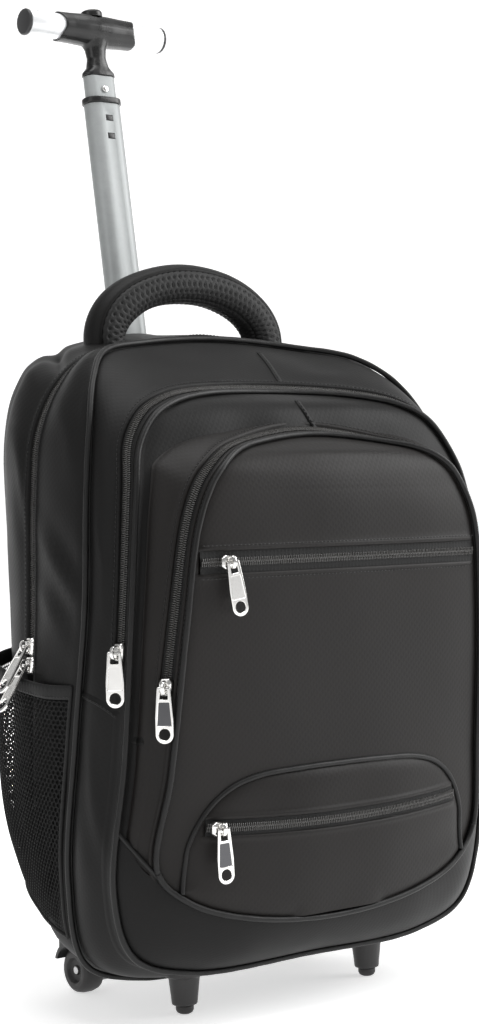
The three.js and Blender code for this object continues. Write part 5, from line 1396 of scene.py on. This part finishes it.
def zip_end(k):
    j = JOINT["pull_swing_" + k]
    piv = np.array(j["pos_m"]) * 1000 - [SX, SY, 0]
    ax = np.array(j["axis"])
    out = np.cross([0, 0, 1.0], ax)
    if k in ("main_upper", "main_lower", "mid", "front"):
        s = SHELL[{"main_upper": "main_body_v", "main_lower": "main_body_v", "mid": "mid_body_v", "front": "front_body_v"}[k]]
        i = s["zip_row"]
        m = s["P"][i][:, 0] < 0
        c = np.argmin(np.where(m, np.abs(s["P"][i][:, 2] - piv[2]), 1e9))
        n = s["n"][i][c]
        turned = False
    else:
        n = unit(np.array([(-104 if k == "panel" else -108) / 900, -1.0, 0]))
        turned = True
    up = unit(np.array([0, 0, 1.0]) - n * n[2])
    a = np.cross(n, up)
    p = piv - n * 6.6
    v = SV.copy()
    body = v[:, :].copy()
    if turned:                                          # the slider body lies along a level zip, its bail stays upright
        nb = len(SV) - 34 * 14
        b = body[:nb].copy()
        body[:nb] = np.stack([b[:, 2], b[:, 1], -b[:, 0]], 1)
    ob = make(f"slider_{k}_v", local(a, n, up, p, body), SF_, NICKEL, node=f"slider_{k}")
    fix_normals(ob)
    lean = LEANS.get(k, 0.0)
    cl, sl = math.cos(lean), math.sin(lean)
    tw, tilt = TWIST.get(k, (0.0, 0.0))
    q = np.stack([PV[:, 0] * math.cos(tilt) - PV[:, 2] * math.sin(tilt), PV[:, 1], PV[:, 0] * math.sin(tilt) + PV[:, 2] * math.cos(tilt)], 1)
    q = np.stack([q[:, 0] * math.cos(tw) - q[:, 1] * math.sin(tw), q[:, 0] * math.sin(tw) + q[:, 1] * math.cos(tw), q[:, 2]], 1)
    w = np.stack([q[:, 0], q[:, 1] * cl - q[:, 2] * sl, q[:, 1] * sl + q[:, 2] * cl], 1)
    mi = [1 if k in ("front", "pocket") and PWIN[0] <= i < PWIN[1] else 0 for i in range(len(PF))]
    ob = make(f"pull_{k}_v", local(ax, out, np.array([0, 0, 1.0]), piv, w), PF, [NICKEL, SMOKED], body=f"tab_{k}", node=f"pull_{k}", mat_index=mi)
    fix_normals(ob, 30)


for key in ("main_upper", "main_lower", "mid", "front", "panel", "pocket"):
    zip_end(key)


# ------------------------------------------------------------------ hard parts
import bmesh


def hard(node, mat, body="bag", bevel=0.5, seg=3, angle=32, remesh=None, smooth_it=0, name=None):
    """A finished copy of a hard CAD piece: welded, with its edges rounded, or remeshed fine and smoothed."""
    src = NODES[node]
    bm = bmesh.new()
    bm.from_mesh(src.data)
    bmesh.ops.remove_doubles(bm, verts=bm.verts, dist=1e-6)
    bmesh.ops.dissolve_limit(bm, angle_limit=math.radians(1.0), verts=bm.verts, edges=bm.edges)
    me = bpy.data.meshes.new(name or node + "_v")
    bm.to_mesh(me)
    bm.free()
    me.materials.clear()
    me.materials.append(mat)
    ob = bpy.data.objects.new(name or node + "_v", me)
    bpy.context.scene.collection.objects.link(ob)
    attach(ob, body)
    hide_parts(node)
    if remesh:
        m = ob.modifiers.new("r", "REMESH")
        m.mode, m.voxel_size, m.use_smooth_shade = "VOXEL", remesh, True
        m = ob.modifiers.new("s", "SMOOTH")
        m.factor, m.iterations = 0.5, smooth_it
    elif bevel:
        m = ob.modifiers.new("b", "BEVEL")
        m.width, m.segments, m.limit_method, m.angle_limit = bevel / 1000, seg, "ANGLE", math.radians(angle)
        m.harden_normals = False
    dg = bpy.context.evaluated_depsgraph_get()
    new = bpy.data.meshes.new_from_object(ob.evaluated_get(dg), depsgraph=dg)
    ob.modifiers.clear()
    ob.data = new
    new.polygons.foreach_set("use_smooth", np.ones(len(new.polygons), bool))
    if not remesh:
        new.set_sharp_from_angle(angle=math.radians(38))
    return ob


for sd in ("left", "right"):
    hard(f"wheel_{sd}", RUBBER, f"{sd}_wheel", bevel=0.6)
    hard(f"wheel_housing_{sd}", BLACK, bevel=1.2)
    hard(f"wheel_axle_{sd}", STEEL, bevel=0.5)
    hard(f"leg_{sd}", LEGP, remesh=0.0009, smooth_it=6)
    hard(f"glide_{sd}", RUBBER, bevel=0.3)
    hard(f"grip_tube_{sd}", SILVER, "upper_stage", bevel=0.3)
    hard(f"grip_cap_{sd}", CAPG, "upper_stage", bevel=0.4)
hard("base_plate", BLACK, bevel=0.8)
hard("pole_sleeve", TUBE, bevel=0.2)
hard("pole_bezel", BLACK, bevel=1.6, seg=4)
hard("pole_outer", TUBE, "lower_stage", bevel=0.35)
hard("pole_collar", BLACK, "lower_stage", bevel=0.9)
hard("pole_inner", TUBE, "upper_stage", bevel=0.3)
hard("grip_screw", NICKEL, "upper_stage", bevel=0.5)
hard("grip_hub", BLACK, "upper_stage", remesh=0.0007, smooth_it=5)
hard("grip_button", BLACK, "button", bevel=0.8)

# ------------------------------------------------------------------ lapped seams on the cloth
from mathutils.bvhtree import BVHTree


def tree_of(*obs):
    V, F, o = [], [], 0
    for ob in obs:
        me = ob.data
        v = np.empty(len(me.vertices) * 3)
        me.vertices.foreach_get("co", v)
        V += [tuple(q) for q in v.reshape(-1, 3)]
        F += [tuple(i + o for i in p.vertices) for p in me.polygons]
        o += len(me.vertices)
    return BVHTree.FromPolygons(V, F)


def lapped_seam(name, line, tree, side=1, width=5.5, height=0.9, mat=None, stitches=True, mirror=False):
    t = np.linspace(0, len(line) - 1, 60)
    px = catmull(np.array(line, float), t)
    P, Nn = [], []
    for u, v in px:
        d = unit(fwd + rr * (u - 239.5) / FPX - uu * (v - 512) / FPX)
        hit, n, _, _ = tree.ray_cast(Vector(C / 1000), Vector(d))
        if hit is None:
            continue
        n = np.array(n)
        P.append(np.array(hit) * 1000 - [SX, SY, 0])
        Nn.append(n if n @ d < 0 else -n)
    P, Nn = np.array(P), np.array(Nn)
    for _ in range(6):
        P[1:-1] = 0.5 * P[1:-1] + 0.25 * (P[2:] + P[:-2])
        Nn[1:-1] = 0.5 * Nn[1:-1] + 0.25 * (Nn[2:] + Nn[:-2])
    Nn = unit(Nn)
    T = unit(np.gradient(P, axis=0))
    A = unit(np.cross(Nn, T)) * side
    prof = np.array([(-0.7, -1.2), (-0.35, -0.5), (-0.1, height * 0.55), (0.35, height), (1.3, height * 1.05), (2.6, height * 0.7), (4.2, height * 0.3), (width, -0.35), (width, -1.2)])
    L = np.concatenate([[0], np.cumsum(np.linalg.norm(np.diff(P, axis=0), axis=1))])
    tip = smooth(0, 3, np.minimum(L, L[-1] - L))
    for sx, tag in ((1, ""), (-1, "_r"))[:2 if mirror else 1]:
        k = np.array([sx, 1, 1])
        V = P[:, None] * k + (A * k)[:, None] * prof[None, :, :1] + (Nn * k)[:, None] * (prof[None, :, 1:] * tip[:, None, None] - 0.3 * (1 - tip)[:, None, None])
        m = len(prof)
        f = [tuple(q) for q in grid_faces(len(P), m, wrap=True)] + [tuple(range(m))[::-1], tuple((len(P) - 1) * m + i for i in range(m))]
        uv = np.stack(np.broadcast_arrays(L[:, None], prof[None, :, 0]), -1).reshape(-1, 2) / 1000
        ob = make(name + tag, V.reshape(-1, 3), f, mat or FAB, uv=uv)
        fix_normals(ob, 60)
        if stitches:
            stitch_row(P[2:-2] * k + (A * k)[2:-2] * 1.5 + (Nn * k)[2:-2] * height, (Nn * k)[2:-2], 3.2, 2.2)


cloth_tree = tree_of(main_ob, mid_ob, front_ob)
lapped_seam("seam_main_face", [(256, 352), (266, 364), (279, 384)], cloth_tree)
lapped_seam("seam_mid_face", [(294, 400), (304, 414), (316, 434)], cloth_tree)
lapped_seam("seam_mid_gusset", [(83, 698), (98, 706), (118, 720)], cloth_tree, mirror=True)
lapped_seam("seam_front_gusset", [(130, 742), (138, 745), (146, 744)], cloth_tree, stitches=False, mirror=True)


# spring catches seen in the two windows of the outer tube; they move with it
PA = np.array([0, 0.15317, 0.98820])
PB = np.array([0, -0.98820, 0.15317])
PO = np.array([0, 56.2, 88.0])
POLE_TOP, WALL_OUT = 604.0, 8.75
for i, down in enumerate((12.5, 27.5)):
    c = PO + PA * (POLE_TOP - down) + PB * WALL_OUT
    o2 = rounded([(3.2, 2.3), (-3.2, 2.3), (-3.2, -2.3), (3.2, -2.3)], 1.1, 5)
    V, m = [], len(o2)
    for h, k in ((-0.75, 1.0), (-0.1, 1.0), (0.1, 0.95), (0.2, 0.8)):
        V.append(c + o2[:, :1] * k * np.array([1.0, 0, 0]) + o2[:, 1:] * k * PA + PB * h)
    f = [tuple(q) for q in grid_faces(4, m, wrap=True)] + [tuple(range(m))[::-1], tuple(3 * m + j for j in range(m))]
    fix_normals(make(f"pole_catch_{i}", np.vstack(V), f, BLACK, body="lower_stage"), 40)

# ------------------------------------------------------------------ the padding under air pressure
from mathutils.kdtree import KDTree


def puff(ob, voxel, cap, shrink=0.8, free=None, frames=20, pressure=4.0, keep_mean=0.0):
    """Cloth simulation on a slightly smaller voxel copy of a padded piece; its movement (capped) is carried to the fine mesh."""
    me = ob.data
    nv = len(me.vertices)
    co = np.empty(nv * 3)
    me.vertices.foreach_get("co", co)
    co = co.reshape(-1, 3)
    no = np.empty(nv * 3)
    me.vertices.foreach_get("normal", no)
    no = no.reshape(-1, 3)
    tmp_me = me.copy()
    tmp_me.vertices.foreach_set("co", (co - no * shrink / 1000).ravel())
    tmp = bpy.data.objects.new(ob.name + "_sim", tmp_me)
    bpy.context.scene.collection.objects.link(tmp)
    m = tmp.modifiers.new("r", "REMESH")
    m.mode, m.voxel_size = "VOXEL", voxel / 1000
    dg = bpy.context.evaluated_depsgraph_get()
    coarse = bpy.data.meshes.new_from_object(tmp.evaluated_get(dg), depsgraph=dg)
    tmp.modifiers.clear()
    tmp.data = coarse
    n = len(coarse.vertices)
    start = np.empty(n * 3)
    coarse.vertices.foreach_get("co", start)
    start = start.reshape(-1, 3)
    cn = np.empty(n * 3)
    coarse.vertices.foreach_get("normal", cn)
    cn = cn.reshape(-1, 3)
    if free is not None:
        kd = KDTree(nv)
        for i in range(0, nv, 3):
            kd.insert(co[i], i)
        kd.balance()
        g = tmp.vertex_groups.new(name="pin")
        for i in range(n):
            _, j, _ = kd.find(start[i])
            if free[j] < 0.99:
                g.add([i], float(1 - free[j]), "REPLACE")
    c = tmp.modifiers.new("c", "CLOTH")
    st = c.settings
    st.quality, st.mass, st.use_pressure, st.uniform_pressure_force = 4, 0.25, True, pressure
    st.tension_stiffness, st.compression_stiffness, st.shear_stiffness, st.bending_stiffness = 18, 18, 8, 0.4
    st.effector_weights.gravity = 0.0
    st.shrink_min = 0.0
    if free is not None:
        st.vertex_group_mass = "pin"
    c.point_cache.frame_start, c.point_cache.frame_end = 1, frames
    for f in range(1, frames + 1):
        bpy.context.scene.frame_set(f)
    dg = bpy.context.evaluated_depsgraph_get()
    ev = tmp.evaluated_get(dg)
    end = np.empty(n * 3)
    ev.data.vertices.foreach_get("co", end)
    move = (end.reshape(-1, 3) - start) * 1000
    move -= keep_mean * cn * np.sum(move * cn, 1).mean()
    r = np.linalg.norm(move, axis=1)
    move *= (cap * np.tanh(r / cap) / np.maximum(r, 1e-9))[:, None]
    kd = KDTree(n)
    for i in range(n):
        kd.insert(start[i], i)
    kd.balance()
    out = np.zeros((nv, 3))
    for i in range(nv):
        if free is not None and free[i] <= 0.001:
            continue
        near = kd.find_n(co[i] - no[i] * shrink / 1000, 6)
        w = np.array([math.exp(-(q[2] * 1000 / voxel) ** 2) + 1e-6 for q in near])
        out[i] = (move[[q[1] for q in near]] * w[:, None]).sum(0) / w.sum()
    k = np.ones(nv) if free is None else free
    co = co + (out - no * (0 if free is not None else shrink)) * k[:, None] / 1000
    me.vertices.foreach_set("co", co.ravel())
    me.update()
    bpy.context.scene.frame_set(1)
    bpy.data.objects.remove(tmp)
    print("puffed", ob.name, n, "moved up to", round(float(np.linalg.norm(out, axis=1).max()), 2), "mm")


def gusset_free(name, lo, hi):
    """1 where the cloth of a side wall is loose, 0 at its seams and its zip."""
    q = SHELL[name]
    want, a, L = q["want"], q["a"], q["L"][-1][None]
    f = smooth(lo, lo + 12, want) * smooth(hi, hi + 12, L - want) * (1 - (1 - smooth(9, 18, np.abs(a))) * 1.0)
    f = f * smooth(22, 40, q["P"][..., 2])
    out = np.zeros(len(bpy.data.objects[name].data.vertices))
    out[:f.size] = f.ravel()
    return out


def back_free():
    me = bpy.data.objects["back_panel_v"].data
    co = np.empty(len(me.vertices) * 3)
    me.vertices.foreach_get("co", co)
    co = co.reshape(-1, 3)
    n = len(co) // 2
    thick = (co[:n, 1] - co[n:, 1]) * 1000
    return np.concatenate([smooth(3.5, 9.5, thick), np.zeros(n)])


puff(bpy.data.objects["grab_handle_v"], 4.5, 2.0, shrink=1.2)
puff(bpy.data.objects["back_panel_v"], 5.5, 2.0, shrink=0.9, free=back_free())
for nm in ("strap_left_v", "strap_right_v"):
    puff(bpy.data.objects[nm], 4.5, 1.6, shrink=0.9)
puff(main_ob, 6.5, 2.6, shrink=0.0, free=gusset_free("main_body_v", 8, 14), pressure=3.0, keep_mean=0.5)
puff(mid_ob, 6.0, 1.8, shrink=0.0, free=gusset_free("mid_body_v", 8, 12), pressure=3.0, keep_mean=0.5)

if STITCH:
    V, F, o = [], [], 0
    for v, f in STITCH:
        V.append(v)
        F.append(f + o)
        o += len(v)
    make("stitches_v", np.vstack(V), np.vstack(F), THREAD, uv=np.zeros((o, 2)))

# ------------------------------------------------------------------ stage, light, camera
floor_me = bpy.data.meshes.new("floor")
prof = [(-14.0, 0.0), (10.0, 0.0)] + [(10.0 + 2 * math.sin(a), 2 - 2 * math.cos(a)) for a in np.linspace(0.1, math.pi / 2, 12)] + [(12.0, 9.0)]
fv, ff = [], []
ca, sa = math.cos(math.radians(38)), math.sin(math.radians(38))
for (d, h) in prof:
    for w in (-14.0, 14.0):
        fv.append((w * ca + d * sa, -w * sa + d * ca, h))
for i in range(len(prof) - 1):
    ff.append((2 * i, 2 * i + 1, 2 * i + 3, 2 * i + 2))
floor_me.from_pydata(fv, [], ff)
floor_me.polygons.foreach_set("use_smooth", np.ones(len(ff), bool))
fm = Mat("floor_paper")
fn = fm.n("ShaderNodeTexNoise", i_Scale=30.0)
fm.link(fn.outputs["Fac"], fm.ramp(fn.outputs["Fac"], [(0, 0.86), (1, 0.88)]).inputs[0])
fm.set(Base_Color=(0.88, 0.88, 0.88, 1), Roughness=0.9, Specular_IOR_Level=0.1, Emission_Color=(1, 1, 1, 1), Emission_Strength=0.56)
floor_me.materials.append(fm.m)
floor = bpy.data.objects.new("floor", floor_me)
bpy.context.scene.collection.objects.link(floor)

world = bpy.data.worlds.new("studio")
bpy.context.scene.world = world
world.use_nodes = True
world.node_tree.nodes["Background"].inputs["Color"].default_value = (1, 1, 1, 1)
world.node_tree.nodes["Background"].inputs["Strength"].default_value = 0.34


def area(name, loc, target, size, power, size_y=None):
    li = bpy.data.lights.new(name, "AREA")
    li.shape, li.size, li.size_y, li.energy = "RECTANGLE", size, size_y or size, power
    ob = bpy.data.objects.new(name, li)
    ob.location = loc
    ob.rotation_euler = (Vector(target) - Vector(loc)).to_track_quat("-Z", "Y").to_euler()
    bpy.context.scene.collection.objects.link(ob)
    return ob


area("key_right", (1.9, -1.1, 1.3), (0, 0, 0.3), 1.4, 44, 1.8)
area("fill_left", (-1.9, -0.5, 1.3), (0, 0, 0.35), 1.0, 6, 1.6)
area("top", (0.0, -0.2, 2.3), (0, 0, 0.4), 1.8, 30)
area("back_wash", (0.6, 1.1, 1.9), (1.4, 3.6, 0.8), 2.0, 85)

bpy.context.scene.view_settings.view_transform = "Standard"
bpy.context.scene.view_settings.look = "None"

cam_d = bpy.data.cameras.new("camera")
cam_d.sensor_width, cam_d.sensor_fit, cam_d.lens = 36.0, "AUTO", 36.0 * FPX / 1024.0
cam_d.clip_start, cam_d.clip_end = 0.01, 50
cam = bpy.data.objects.new("camera", cam_d)
cam.matrix_world = Matrix(((rr[0], uu[0], -fwd[0], C[0] / 1000), (rr[1], uu[1], -fwd[1], C[1] / 1000), (rr[2], uu[2], -fwd[2], C[2] / 1000), (0, 0, 0, 1)))
bpy.context.scene.collection.objects.link(cam)
bpy.context.scene.camera = cam
